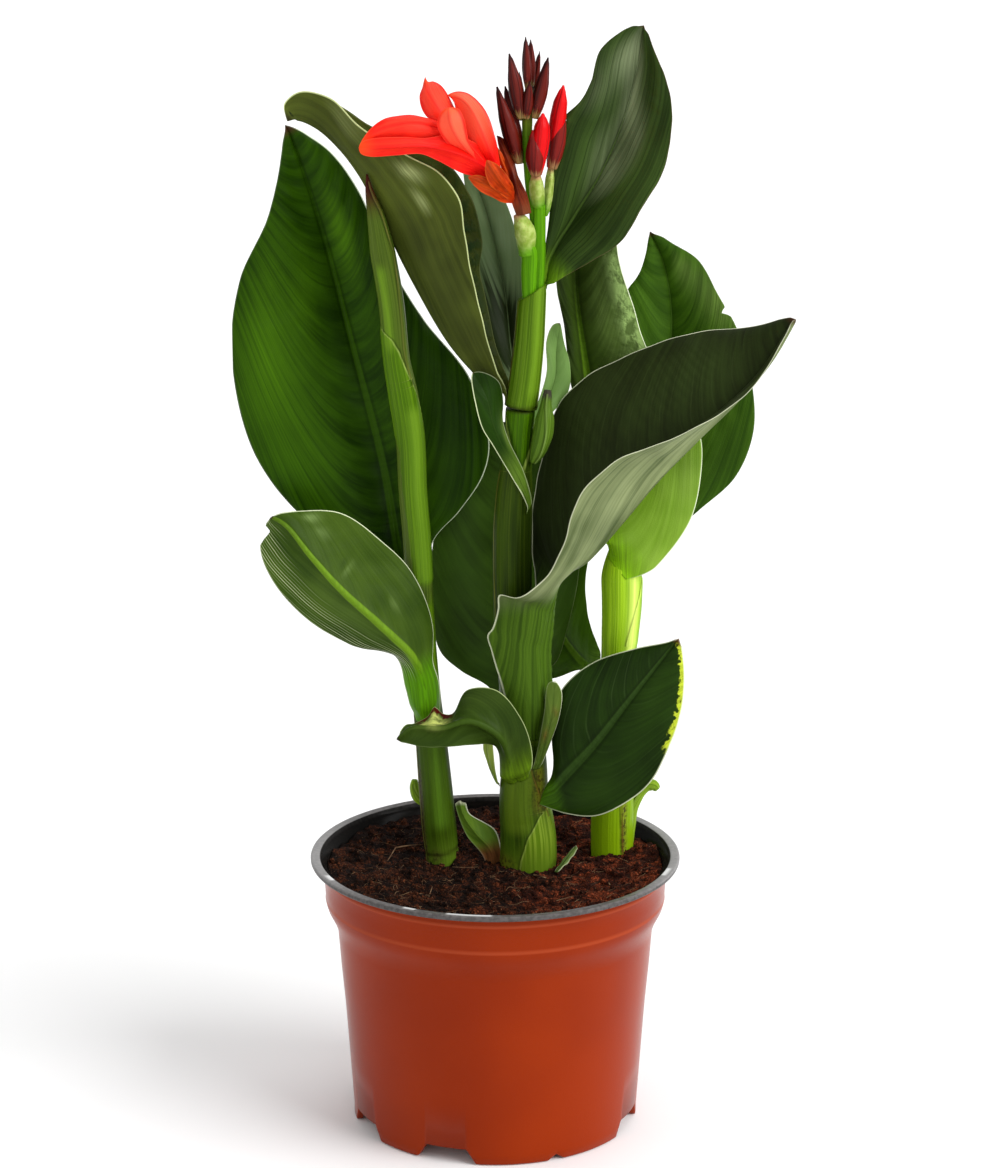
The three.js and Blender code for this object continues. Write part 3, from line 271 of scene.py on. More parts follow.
                [70, 25, 541], [73, 14, 566]],
        "right": [[26, 15, 434], [35, 14, 440], [48, 10, 448], [62, 6, 459], [74, 4, 478],
                  [83, 4, 496], [87, 6, 518], [83, 9, 540], [77, 12, 555], [73, 14, 566]],
    },
    "sheath_lobe": {
        "slot": "sheath", "look": "lobe", "clasps": "stem_middle", "arch": [0, 1, 1, 0],
        "slope": (1, 1), "pitch": 12, "pleat": 0.05,
        "left": [[19, 6, 184], [22, 4, 198], [25, 3, 216], [27, 4, 231], [30, 4, 233]],
        "rib": [[21, 7, 184], [25, 4, 199], [29, 3, 216], [30, 4, 228], [31, 4, 233]],
        "right": [[23, 9, 184], [28, 6, 198], [33, 6, 214], [34, 6, 226], [31, 4, 233]],
    },
    "sheath_curl": {
        "slot": "dry", "look": "curl", "clasps": "stem_middle", "arch": [0, 1, 1, 0],
        "slope": (1, 1), "pitch": 12, "pleat": 0.05,
        "left": [[1, 20, 172], [-3, 19, 183], [-6, 18, 194], [-4, 18, 202]],
        "rib": [[1, 17, 172], [-2, 15, 184], [-4, 14, 194], [-3, 15, 203]],
        "right": [[2, 14, 172], [0, 11, 183], [-1, 10, 194], [-2, 12, 203]],
    },
    "cut_sheath": {
        "slot": "sheath", "look": "cut", "arch": [-1, -1, -1, -1],
        "slope": (0.6, 0.6), "pitch": 12, "pleat": 0.06,
        "left": [[-4, 16, 120], [-6, 18, 132], [-14.7, 18, 144], [-18.8, 19, 153.5],
                 [-21.4, 20, 162.5]],
        "rib": [[0, 15, 120], [-2, 16, 136], [-10, 16, 146], [-16, 17, 155], [-18.6, 19, 163.6]],
        "right": [[4, 17, 120], [3, 18, 138], [0, 19, 147], [-6, 20, 151], [-9, 20, 152.6],
                  [-13.6, 20, 156], [-15.4, 20, 163]],
    },
    "leaf_scrap": {
        "slot": "light_leaf", "look": "scrap", "arch": [0, 1, 0],
        "wave": [0.5, 3, 0.2], "slope": (1, 1), "pitch": 12,
        "left": [[30.6, 1, 130.4], [35.5, 9, 134.2], [41.5, 17, 139]],
        "rib": [[31.4, 0.4, 130.4], [37, 8.4, 134.6], [42.4, 16.6, 139.2]],
        "right": [[32.2, 0, 130.4], [38.6, 7.6, 134.2], [43.4, 16, 138.6]],
    },
}

# Each has its slot and its path.
SIDE_GROWTHS = {
    "bud_node": ("stem", [[19, 10, 346, 2], [21.5, 8, 352, 4], [24, 7, 361, 5.2],
                          [25, 7, 369, 4.8], [25.4, 8, 375, 3], [26, 9, 379.5, 2.5],
                          [26.4, 9.5, 383, 1.8]]),
    "knob_left": ("sheath", [[-35, 29, 158, 3], [-40, 31, 161, 3.4], [-42, 32, 166, 2.8],
                             [-42, 32, 170, 1.6]]),
    "stub_right": ("sheath", [[65, 36, 118, 6.2], [66.5, 36, 134, 6.2], [68.5, 36.5, 146, 5.6],
                              [71, 37, 154, 4.2], [75.5, 38, 161, 3.1], [79.5, 39, 164.6, 3.2],
                              [83, 39.5, 164.4, 3.2], [85, 39.5, 162.4, 1.8]]),
}
SPIKE = [
    [[17, 14, 425, 3.6], [17, 13, 441, 4.4], [17, 12, 453, 4.6], [15, 11, 457, 4]],
    [[21, 15, 428, 3], [22, 13, 447, 3], [22, 12, 463, 3.2], [22, 12, 476, 3.2]],
    [[20, 15, 452, 2.2], [19, 14, 472, 2.2], [17, 14, 486, 2.2], [16, 14, 503, 2.3],
     [16, 14, 518, 2.8], [16, 14, 528, 2.2], [17, 14, 537, 1.4]],
]
OVARIES = {
    "ovary_flower": [[15.9, 11, 451, 4.4], [15.5, 11, 456, 4.8], [15, 10, 462, 5.6],
                     [13, 9, 468, 4], [11, 9, 472, 2]],
    "ovary_bud_front": [[21.4, 12, 475, 3.2], [21, 11, 481, 3.9], [20.5, 10, 487, 3.6],
                        [20.5, 9.5, 491, 2.2]],
    "ovary_bud_back": [[25, 14, 470, 0.7], [25.5, 14.6, 473, 1.8], [26.5, 15.5, 480, 2.3],
                       [27.3, 16.5, 488, 2.3], [27.8, 17, 494, 1.4]],
}
# Each has its foot, its tip and its widest radius.
BUDS = {
    "bud_top_front": [[16, 11, 533], [15, 11, 559], 2.3],
    "bud_top_back": [[18, 16, 534], [17.5, 16, 557], 2.3],
    "bud_upper_left": [[13, 11, 519], [7, 9, 551], 3.6],
    "bud_upper_right": [[19.5, 11.5, 519], [26, 10, 549], 3.4],
    "bud_upper_back": [[19, 19, 530], [22, 19, 551], 1.8],
    "bud_middle": [[15.5, 10, 519], [17, 7, 538], 2.5],
    "bud_back_left": [[13, 18, 517], [12, 18, 541], 2],
    "bud_left_front": [[12, 11, 497], [1, 8, 535], 4],
    "bud_left_back": [[13, 16, 496], [5, 17, 534], 3.6],
    "bud_red_front": [[21, 9, 491.5], [23.6, 7.5, 522], 4.3],
    "bud_red_back": [[27.2, 16, 494], [33.6, 13, 535], 3.9],
    "bract_red_front": [[20.2, 8.2, 491], [18.6, 6.4, 514], 4.4],
    "bract_red_back": [[28.6, 15.5, 493.5], [33.6, 13.5, 526], 4.0],
}

PETALS = [
    {"left": [[7, 5, 480.5], [-1.6, -4, 490.2], [-16.2, -12, 495.8], [-27.4, -17, 502.5],
              [-36.2, -20, 506.5], [-48.2, -23, 506.1], [-60.2, -25, 505.8],
              [-64.6, -26, 507.4], [-66.7, -26, 510.2]],
     "rib": [[5, 0, 486.3], [-6.4, -12, 499.7], [-20.9, -20, 507.5], [-33.7, -24, 510.5],
             [-46.5, -27, 510.8], [-57.7, -28, 510.5], [-66.7, -26, 510.2]],
     "right": [[5, 6, 491.9], [-8.1, -6, 508.5], [-20.9, -14, 514.6], [-33.7, -20, 513.9],
               [-44.9, -24, 515.2], [-55.3, -26, 515.2], [-62.5, -26, 514],
               [-65.7, -26, 511.8], [-66.7, -26, 510.2]],
     "arch": [0, -2, 0]},
    {"left": [[2.5, 7, 486.8], [-11.3, -2, 501.4], [-24.2, -9, 509.8], [-33.9, -14, 511.7],
              [-42.6, -18, 513.6], [-53.1, -20, 513.9], [-60.2, -22, 513], [-66, -25, 510.7]],
     "rib": [[1.7, 5, 489.6], [-12.9, -4, 508.2], [-27.4, -12, 517.2], [-37.8, -17, 520.8],
             [-48.2, -20, 520.4], [-57.8, -22, 517.5], [-66, -25, 510.7]],
     "right": [[1.3, 8, 493.2], [-11.4, 2, 512.2], [-22.7, -3, 517.5], [-32.3, -8, 522],
               [-40.3, -12, 524.1], [-47.5, -15, 523.9], [-53.9, -18, 522.8],
               [-60.2, -21, 518.5], [-66, -25, 510.7]],
     "arch": [0, 2.5, 0]},
    {"left": [[0, 6, 488.6], [-16.2, 0, 508.4], [-27.6, -2, 517.7], [-33.6, -3, 522.1],
              [-36.1, -1, 527.3], [-36.6, 1, 531.9], [-35.1, 4, 536], [-34.1, 6, 540.7]],
     "rib": [[0, 4, 490.5], [-14.6, -3, 511.3], [-24.2, -6, 521.6], [-28.7, -6, 528.1],
             [-31.9, -3, 533.3], [-33.4, 2, 536.7], [-34.1, 6, 540.7]],
     "right": [[0.9, 7, 491.7], [-11.4, 4, 513.5], [-19.1, 4, 524.2], [-22.7, 5, 530.6],
               [-26.4, 6, 535.7], [-30, 6, 537.7], [-32.8, 6, 537.7], [-34.1, 6, 540.7]],
     "arch": [0, 2, 0]},
    {"left": [[4.1, 2, 484.3], [-11.3, -10, 499.4], [-20.9, -15, 508.3], [-26.5, -18, 516.1],
              [-27.9, -18, 521.3], [-26.1, -17, 526], [-22.1, -15, 528.7]],
     "rib": [[4.1, 0, 486.3], [-9.6, -13, 503.1], [-16.8, -20, 512.3], [-20.8, -23, 520],
             [-22, -21, 525.4], [-22.1, -15, 528.7]],
     "right": [[4.1, 2, 488.4], [-6.4, -8, 502.3], [-12.1, -13, 510.4], [-13.8, -15, 517.2],
               [-15.1, -16, 523], [-17.6, -15, 527.3], [-22.1, -15, 528.7]],
     "arch": [0, -2, 0]},
    {"left": [[0, 7, 489.2], [-9, 2, 500], [-17, 3, 512], [-19, 4, 520],
              [-19.5, 4, 526], [-21, 4, 529.6], [-23.5, 4, 531.7]],
     "rib": [[2.5, 3, 492.4], [-1.6, -8, 503.9], [-6.4, -10, 515.7], [-10.4, -8, 524.3],
             [-15.3, -4, 529.8], [-23.5, 4, 531.7]],
     "right": [[2.9, 7, 495], [1.5, 4, 503.7], [-0.4, 4, 511.9], [-2.8, 4, 520.1],
               [-7.3, 4, 527.4], [-13, 5, 532], [-18.3, 5, 533], [-23.5, 4, 531.7]],
     "arch": [0, 3, 0]},
]
SEPALS = [
    {"left": [[8.9, 6, 477.8], [2.8, 0, 479.7], [-3.3, -6, 483.7], [-9.4, -10, 488.5],
              [-13.4, -13, 494.1]],
     "rib": [[9.6, 4, 480.6], [3.5, -5, 484.9], [-4, -10, 489.8], [-9.4, -13, 493],
             [-13.4, -13, 494.1]],
     "right": [[9.9, 5, 481.8], [4.8, -5, 487], [-2, -10, 492.3], [-8, -13, 495],
               [-13.4, -13, 494.1]]},
    {"left": [[8.2, 5, 479.1], [2.8, -5, 484.2], [-2.6, -11, 490], [-4.7, -15, 496.8],
              [-4.2, -17, 503.2]],
     "rib": [[9.1, 3, 481.1], [4.8, -8, 488.1], [0.7, -14, 494.6], [-2.1, -17, 499.8],
             [-4.2, -17, 503.2]],
     "right": [[9.9, 5, 483], [8.2, -5, 489.7], [4.8, -11, 496.1], [0.7, -15, 500.8],
               [-4.2, -17, 503.2]]},
    {"left": [[7, 7, 483.4], [4.1, 6, 492.7], [1.7, 6, 500.1], [0.7, 7, 506.5]],
     "rib": [[8.2, 4, 483.9], [5.8, 4, 493], [2.9, 5, 500.3], [0.7, 7, 506.5]],
     "right": [[9.1, 8, 484.9], [7.4, 8, 492.4], [4.5, 8, 499.8], [0.7, 7, 506.5]]},
]
FLOWER_BRACT = {
    "left": [[10.7, 7, 471.4], [7, 6, 482], [5.8, 8, 492.4], [2.5, 9, 502.9], [0.7, 10, 511.2]],
    "rib": [[14.4, 4, 472.4], [11.5, 3, 482.5], [9, 5, 492], [5, 8, 502.3], [0.7, 10, 511.2]],
    "right": [[18, 9, 472.5], [16.1, 9, 480.6], [11.9, 11, 489.4], [9.1, 12, 500.8],
              [4.5, 11, 508.8], [0.7, 10, 511.2]],
}


# ------------------------------------------------------------ curves and meshes

def circle(radius, z, angle):
    """Points round the axis; z is one height or one for each angle."""
    return np.stack([radius * np.cos(angle), radius * np.sin(angle), np.zeros(len(angle)) + z], 1)


def unit(v):
    return v / np.maximum(np.linalg.norm(v, axis=-1, keepdims=True), 1e-9)


def smooth(low, high, x):
    """0 at low and 1 at high, with a soft start and end; low may be the larger."""
    t = np.clip((x - low) / (high - low), 0, 1)
    return t * t * (3 - 2 * t)


class Curve:
    """A centripetal Catmull-Rom curve, addressed by the share of its length."""

    def __init__(self, points):
        self.points = np.array(points, float)
        self.share = np.linspace(0, 1, 201)
        steps = np.linalg.norm(np.diff(self.raw(self.share), axis=0), axis=1)
        self.run = np.concatenate([[0], np.cumsum(steps)])
        self.length = self.run[-1]

    def raw(self, t):
        p = self.points
        place = np.clip(t, 0, 1) * (len(p) - 1)
        i = np.minimum(place.astype(int), len(p) - 2)
        w = (place - i)[:, None]
        ends = np.vstack([2 * p[0] - p[1], p, 2 * p[-1] - p[-2]])
        a, b, c, d = ends[i], ends[i + 1], ends[i + 2], ends[i + 3]
        ab, bc, cd = (np.sqrt(np.linalg.norm(n - m, axis=1))[:, None]
                      for m, n in ((a, b), (b, c), (c, d)))
        leave = ((b - a) / ab - (c - a) / (ab + bc) + (c - b) / bc) * bc
        reach = ((c - b) / bc - (d - b) / (bc + cd) + (d - c) / cd) * bc
        return (b + leave * w + (3 * (c - b) - 2 * leave - reach) * w ** 2
                + (2 * (b - c) + leave + reach) * w ** 3)

    def place(self, u):
        """The curve's own parameter at a share of its length."""
        return np.interp(np.asarray(u) * self.length, self.run, self.share)

    def at(self, u):
        return self.raw(self.place(u))

    def tangent(self, u):
        t = self.place(u)
        return unit(self.raw(t + 1e-4) - self.raw(t - 1e-4))


def add_object(name, data):
    made = bpy.data.objects.new(name, data)
    bpy.context.scene.collection.objects.link(made)
    return made


def make(name, points, faces, material, slot, replaced=(), **fields):
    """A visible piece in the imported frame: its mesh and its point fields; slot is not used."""
    mesh = bpy.data.meshes.new(name)
    points = np.clip(points, BOX_LOW, BOX_HIGH)
    mesh.from_pydata(((points + SHIFT) * MM).tolist(), [], faces)
    mesh.shade_smooth()
    for field, values in fields.items():
        data = mesh.attributes.new(field, "FLOAT", "POINT").data
        data.foreach_set("value", np.ascontiguousarray(values, dtype=np.float32))
    mesh.materials.append(material)
    piece = add_object(name, mesh)
    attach(piece, "root")
    if replaced:
        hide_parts(*replaced)


def grid_faces(rows, columns, ring=False, start=0, flip=False):
    """Quads of a grid of points; a ring closes each row on itself."""
    i, j = np.mgrid[0:rows - 1, 0:columns if ring else columns - 1]
    k = (j + 1) % columns
    quads = np.stack([i * columns + j, i * columns + k, (i + 1) * columns + k,
                      (i + 1) * columns + j], -1).reshape(-1, 4) + start
    return (quads[:, ::-1] if flip else quads).tolist()


def fan(ring, centre, flip=False):
    """Triangles from a closed row of points to one centre."""
    turned = ring[1:] + ring[:1]
    return [(b, a, centre) if flip else (a, b, centre) for a, b in zip(ring, turned)]


def tube_faces(rows, sides):
    """A closed tube: rings of points, then the middle of its first and of its last ring."""
    last = (rows - 1) * sides
    return (grid_faces(rows, sides, ring=True)
            + fan(list(range(sides)), rows * sides, flip=True)
            + fan(list(range(last, last + sides)), rows * sides + 1))


class Bundle:
    """Several closed shells that go into one mesh, with their point fields."""

    def __init__(self):
        self.points, self.faces, self.fields, self.count = [], [], [], 0

    def add(self, points, faces, **fields):
        self.points.append(points)
        self.faces += [tuple(v + self.count for v in face) for face in faces]
        self.fields.append({k: np.broadcast_to(v, len(points)) for k, v in fields.items()})
        self.count += len(points)

    def make(self, name, material, slot, replaced=()):
        fields = {k: np.concatenate([f[k] for f in self.fields]) for k in self.fields[0]}
        make(name, np.vstack(self.points), self.faces, material, slot, replaced, **fields)


# ------------------------------------------------------------ blades

CLASP = 0.85          # middle of a clasping blade, out from its stem
SEAT = 0.07           # share of the blade's length in which its foot merges into the stem
CLOSE = 0.955         # share of its length from which the margins close round the tip
TIP = 0.985           # share of its length at which they meet


def hug(points, stem, u):
    """Moves a clasping blade out of its stem, and its foot onto the stem."""
    path = np.array(STEMS[stem])
    z = points[..., 2]
    x, y, radius = (np.interp(z, path[:, 2], path[:, i]) for i in (0, 1, 3))
    away = points[..., :2] - np.stack([x, y], -1)
    reach = np.maximum(np.linalg.norm(away, axis=-1), 1e-3)
    seat = smooth(1, 0, u / SEAT)
    wanted = radius + CLASP - 0.55 * seat
    # the larger of the two distances, with a soft change from one to the other
    soft = 0.5 * (reach + wanted + np.sqrt((reach - wanted) ** 2 + 0.6))
    soft = soft + (wanted - soft) * seat
    inside = (z < path[-1, 2]) & ((reach < wanted + 4) | (seat > 0))
    scale = np.where(inside, soft / reach, 1)
    out = points.copy()
    out[..., 0] = x + away[..., 0] * scale
    out[..., 1] = y + away[..., 1] * scale
    return out


def blots(places, along, across):
    """Sum of soft patches, each (along, across, reach along, reach across, amount)."""
    total = np.zeros(np.broadcast(along, across).shape)
    for u, v, du, dv, amount in places:
        total = total + amount * np.exp(-((along - u) / du) ** 2 - ((across - v) / dv) ** 2)
    return total


def blade_grid(spec, columns, spacing):
    """Middle surface of a blade, and the fields that its shader reads."""
    left, rib, right = (Curve(spec[k]) for k in ("left", "rib", "right"))
    rows = int(np.clip(rib.length / spacing, 14, 240))
    u = np.linspace(0, TIP, rows + 1)
    v = np.linspace(-1, 1, columns)
    v = (v - 0.1 * np.sin(2 * np.pi * v))[None, :]
    l, c, r = left.at(u), rib.at(u), right.at(u)
    upper = unit(np.cross(unit(r - l), rib.tangent(u))) * spec["face"]
    u = u[:, None]
    out, side = np.abs(v), np.sign(v)
    edge = np.where(v[..., None] < 0, l[:, None], r[:, None])
    width = np.linalg.norm(edge - c[:, None], axis=-1)
    close = np.sqrt(np.clip(1 - np.clip((u - CLOSE) / (TIP - CLOSE), 0, 1) ** 2, 0, 1))
    reach = out * np.maximum(close, 0.06)
    if "nick" in spec:
        nick_side, place, depth, half = spec["nick"]
        tear = np.clip(1 - np.abs(u - place) / half, 0, 1) * (side == nick_side)
        reach = reach * (1 - tear * depth / np.maximum(width, depth * 1.4) * smooth(0.3, 1, out))
    height, count, phase = spec["wave"]
    swing = np.sin(2 * np.pi * (count * u + phase + 0.35 * side))
    ripple = height * swing * out ** 3 * np.sin(np.pi * u)
    crimp = 0.16 * height * np.sin(2 * np.pi * (3.7 * count * u + phase + 0.2 * side))
    ripple = ripple + crimp * out ** 5 * np.sin(np.pi * u)
    arch = np.interp(u, np.linspace(0, 1, len(spec["arch"])), spec["arch"])
    # distances over the blade, and the side veins' own coordinate
    ribbed = reach * width
    slope = np.where(v < 0, *spec["slope"])
    vein = u * rib.length - slope * (0.5 + 1.2 * u) * ribbed ** spec["bend"]
    run = np.where(v < 0, *np.broadcast_to(spec["run"], 2))
    vein = (1 - run) * vein - run * reach * width.max(axis=0, keepdims=True)
    fade = np.sin(np.pi * np.clip(reach, 0, 1)) ** 0.8 * smooth(0, 0.12, u) * smooth(1, 0.85, u)
    wobble = 1.4 * np.sin(u * 23 + side) + 0.8 * np.sin(u * 41 + 2 * side)
    turns = (vein + wobble) / spec["pitch"]
    pleat = spec["pleat"] * np.sin(2 * np.pi * turns) * fade
    lift = arch * 4 * reach * (1 - reach) + ripple + pleat
    grid = c[:, None] + (edge - c[:, None]) * reach[..., None] + upper[:, None] * lift[..., None]
    if spec["clasps"]:
        grid = hug(grid, spec["clasps"], u)
    fields = {"vein": vein, "rib": ribbed * side, "edge": width * close - ribbed,
              "along": np.broadcast_to(u, vein.shape),
              "painted_light": blots(spec["painted_light"], u, reach * side),
              "spot_and_sheen": np.clip(blots(spec["spot_and_sheen"], u, reach * side), 0, 1)}
    return grid, fields


def blade_shell(spec, columns, spacing, ridge, thick=0.42):
    """A closed blade: thin at the margins, ridged below and grooved above its rib."""
    spec = {**PLAIN_BLADE, **spec}
    grid, fields = blade_grid(spec, columns, spacing)
    rows = len(grid)
    normal = unit(np.cross(np.gradient(grid, axis=1), np.gradient(grid, axis=0))) * spec["face"]
    along, rib = fields["along"], fields["rib"]
    rim = smooth(0, 3.5, fields["edge"])
    half = thick * (0.4 + 0.6 * rim) * (0.45 + 0.55 * smooth(0, SEAT, along))
    body = smooth(0, 0.1, along) * (1 - 0.85 * along) * rim
    keel = ridge * body * np.exp(-(rib / (2.6 - 1.5 * along)) ** 2)
    groove = min(ridge, 0.5) * body * np.exp(-(rib / 1.1) ** 2)
    top = grid + normal * (half - groove)[..., None]
    low = grid - normal * (half + keel)[..., None]
    points = np.vstack([top.reshape(-1, 3), low.reshape(-1, 3)])
    under = rows * columns
    flip = spec["face"] < 0
    faces = grid_faces(rows, columns, flip=flip)
    faces += grid_faces(rows, columns, start=under, flip=not flip)
    rim_loop = ([i * columns for i in range(rows)]
                + [(rows - 1) * columns + j for j in range(1, columns)]
                + [i * columns + columns - 1 for i in range(rows - 2, -1, -1)]
                + [j for j in range(columns - 2, 0, -1)])
    for a, b in zip(rim_loop, rim_loop[1:] + rim_loop[:1]):
        quad = (a, b, b + under, a + under)
        faces.append(quad[::-1] if flip else quad)
    doubled = {k: np.tile(f.ravel(), 2) for k, f in fields.items()}
    doubled["under"] = np.repeat([0.0, 1.0], under)
    return points, faces, doubled


# ------------------------------------------------------------ round pieces

INSET = 0.12          # skin, in from the part's radius, so that ridges end near it


def wrapped(wraps, openings, turn, z, radius):
    """Sheath layers over a stem: their height, tone, arc to the nearest edge, its rust, cover.

    A wrap is (edge as [z, degrees] upwards, side that it covers, span in degrees, step, rust,
    tone); an opening is a V as (z of its point, degrees of its middle, degrees per mm, end z)."""
    lift, rust, tone = np.zeros_like(turn), np.zeros_like(turn), np.zeros_like(turn)
    lip, cover = np.full_like(turn, 50.0), np.ones_like(turn)

    def note(arc, strength, brown):
        near = (np.abs(arc) < np.abs(lip)) & (strength > 0.02)
        return np.where(near, arc, lip), np.where(near, brown, rust)

    for edge, side, span, step, brown, shade in wraps:
        edge = np.array(edge, float)
        at = np.interp(z, edge[:, 0], edge[:, 1])
        gap = ((turn - at) * side + 180) % 360 - 180
        arc = np.radians(gap) * radius
        ends = smooth(edge[0, 0] - 3, edge[0, 0], z) * smooth(edge[-1, 0] + 1, edge[-1, 0] - 1, z)
        laid = smooth(-0.25, 0.3, arc) * smooth(span, span * 0.35, gap) * ends
        lift = np.maximum(lift, step * laid)
        tone = np.maximum(tone, shade * laid)
        lip, rust = note(arc, ends, brown)
    for point, middle, rate, end in openings:
        gap = np.abs((turn - middle + 180) % 360 - 180)
        arc = np.radians(gap - (z - point) * rate) * radius * 0.5
        ends = smooth(point - 1, point + 1, z) * smooth(end + 1, end - 1, z)
        inside = smooth(0.3, -0.3, arc) * ends
        lift = lift - 0.45 * inside
        cover = cover * (1 - inside)
        lip, rust = note(arc, ends, 0.0)
    return lift, tone, lip, rust, cover


def round_shell(path, sides, spacing, wraps=(), openings=(), stains=(), painted_highlights=(), rings=(),
                fins=(0, 0), top=None):
    """Closed skin round an [x, y, z, radius] path, with sheath layers, stains and rings.

    A stain, or a painted highlight, is [from z, to z, degrees, reach in degrees], a ring is
    (z, width, rise), and fins are (count, height) of ridges along the piece."""
    path = np.array(path, float)
    line = Curve(path[:, :3])
    rows = max(int(line.length / spacing), 6)
    t = line.place(np.linspace(0, 1, rows + 1))
    centre = line.raw(t)
    knots = np.linspace(0, 1, len(path))
    radius = np.interp(t, knots, path[:, 3])
    soft = np.convolve(np.pad(radius, 2, mode="edge"), [0.1, 0.25, 0.3, 0.25, 0.1], "valid")
    radius = np.where((t > 0.02) & (t < 0.98), soft, radius)[:, None]
    tangent = unit(np.gradient(centre, axis=0))
    right = unit(np.cross([0, 1, 0], tangent))
    back = np.cross(tangent, right)
    turn = np.arange(sides) * 360 / sides - 180
    angle = np.radians(turn)[None, :]
    turn = np.broadcast_to(turn, (rows + 1, sides)).astype(float)
    z = np.broadcast_to(centre[:, 2:3], turn.shape)
    wide = np.broadcast_to(radius, turn.shape)
    lift, tone, lip, rust, cover = wrapped(wraps, openings, turn, z, wide)
    share = np.broadcast_to(np.linspace(0, 1, rows + 1)[:, None], turn.shape)
    count, depth = fins
    size = radius + lift - INSET + depth * np.sin(count * angle + 1.5 * np.sin(z / 30))
    mark = np.zeros_like(turn)
    for place, width, drop in rings:
        belt = np.exp(-((z - place - 0.8 * np.sin(angle + 0.7)) / width) ** 2)
        mark = np.maximum(mark, belt)
        size = size + drop * belt

    def patches(places):
        total = np.zeros_like(turn)
        for low, high, middle, reach in places:
            gap = (turn - middle + 180) % 360 - 180
            patch = np.exp(-(gap / reach) ** 2) * smooth(low - 4, low + 4, z)
            total = np.maximum(total, patch * smooth(high + 4, high - 4, z))
        return total

    stain, painted_highlight = patches(stains), patches(painted_highlights)
    ring_points = (centre[:, None] + right[:, None] * (np.cos(angle) * size)[..., None]
                   + back[:, None] * (np.sin(angle) * size)[..., None])
    if top is not None:
        ring_points = top(ring_points)
    points = np.vstack([ring_points.reshape(-1, 3), ring_points[0].mean(0),
                        ring_points[-1].mean(0)])

    def field(values, first, end):
        return np.concatenate([np.broadcast_to(values, turn.shape).ravel(), [first, end]])

    return points, tube_faces(rows + 1, sides), {
        "cx": field(np.cos(angle), 0, 0), "cy": field(np.sin(angle), 0, 0),
        "height": field(z, z[0, 0], z[-1, 0]), "share": field(share, 0, 1),
        "cover": field(cover, 1, 1), "tone": field(tone, 0, 0), "lip": field(lip, 50, 50),
        "rust": field(rust, 0, 0), "stain": field(stain, 0, 0), "painted_highlight": field(painted_highlight, 0, 0),
        "mark": field(mark, 0, 0),
    }


# ------------------------------------------------------------ shaders

def scaled(colour, factor):
    return tuple(min(255, c * factor) for c in colour)


def linear(colour):
    """An sRGB colour of 0 to 255 as Blender's linear colour."""
    c = np.array(colour, float) / 255
    c = np.where(c <= 0.04045, c / 12.92, ((c + 0.055) / 1.055) ** 2.4)
    return (*c.tolist(), 1.0)


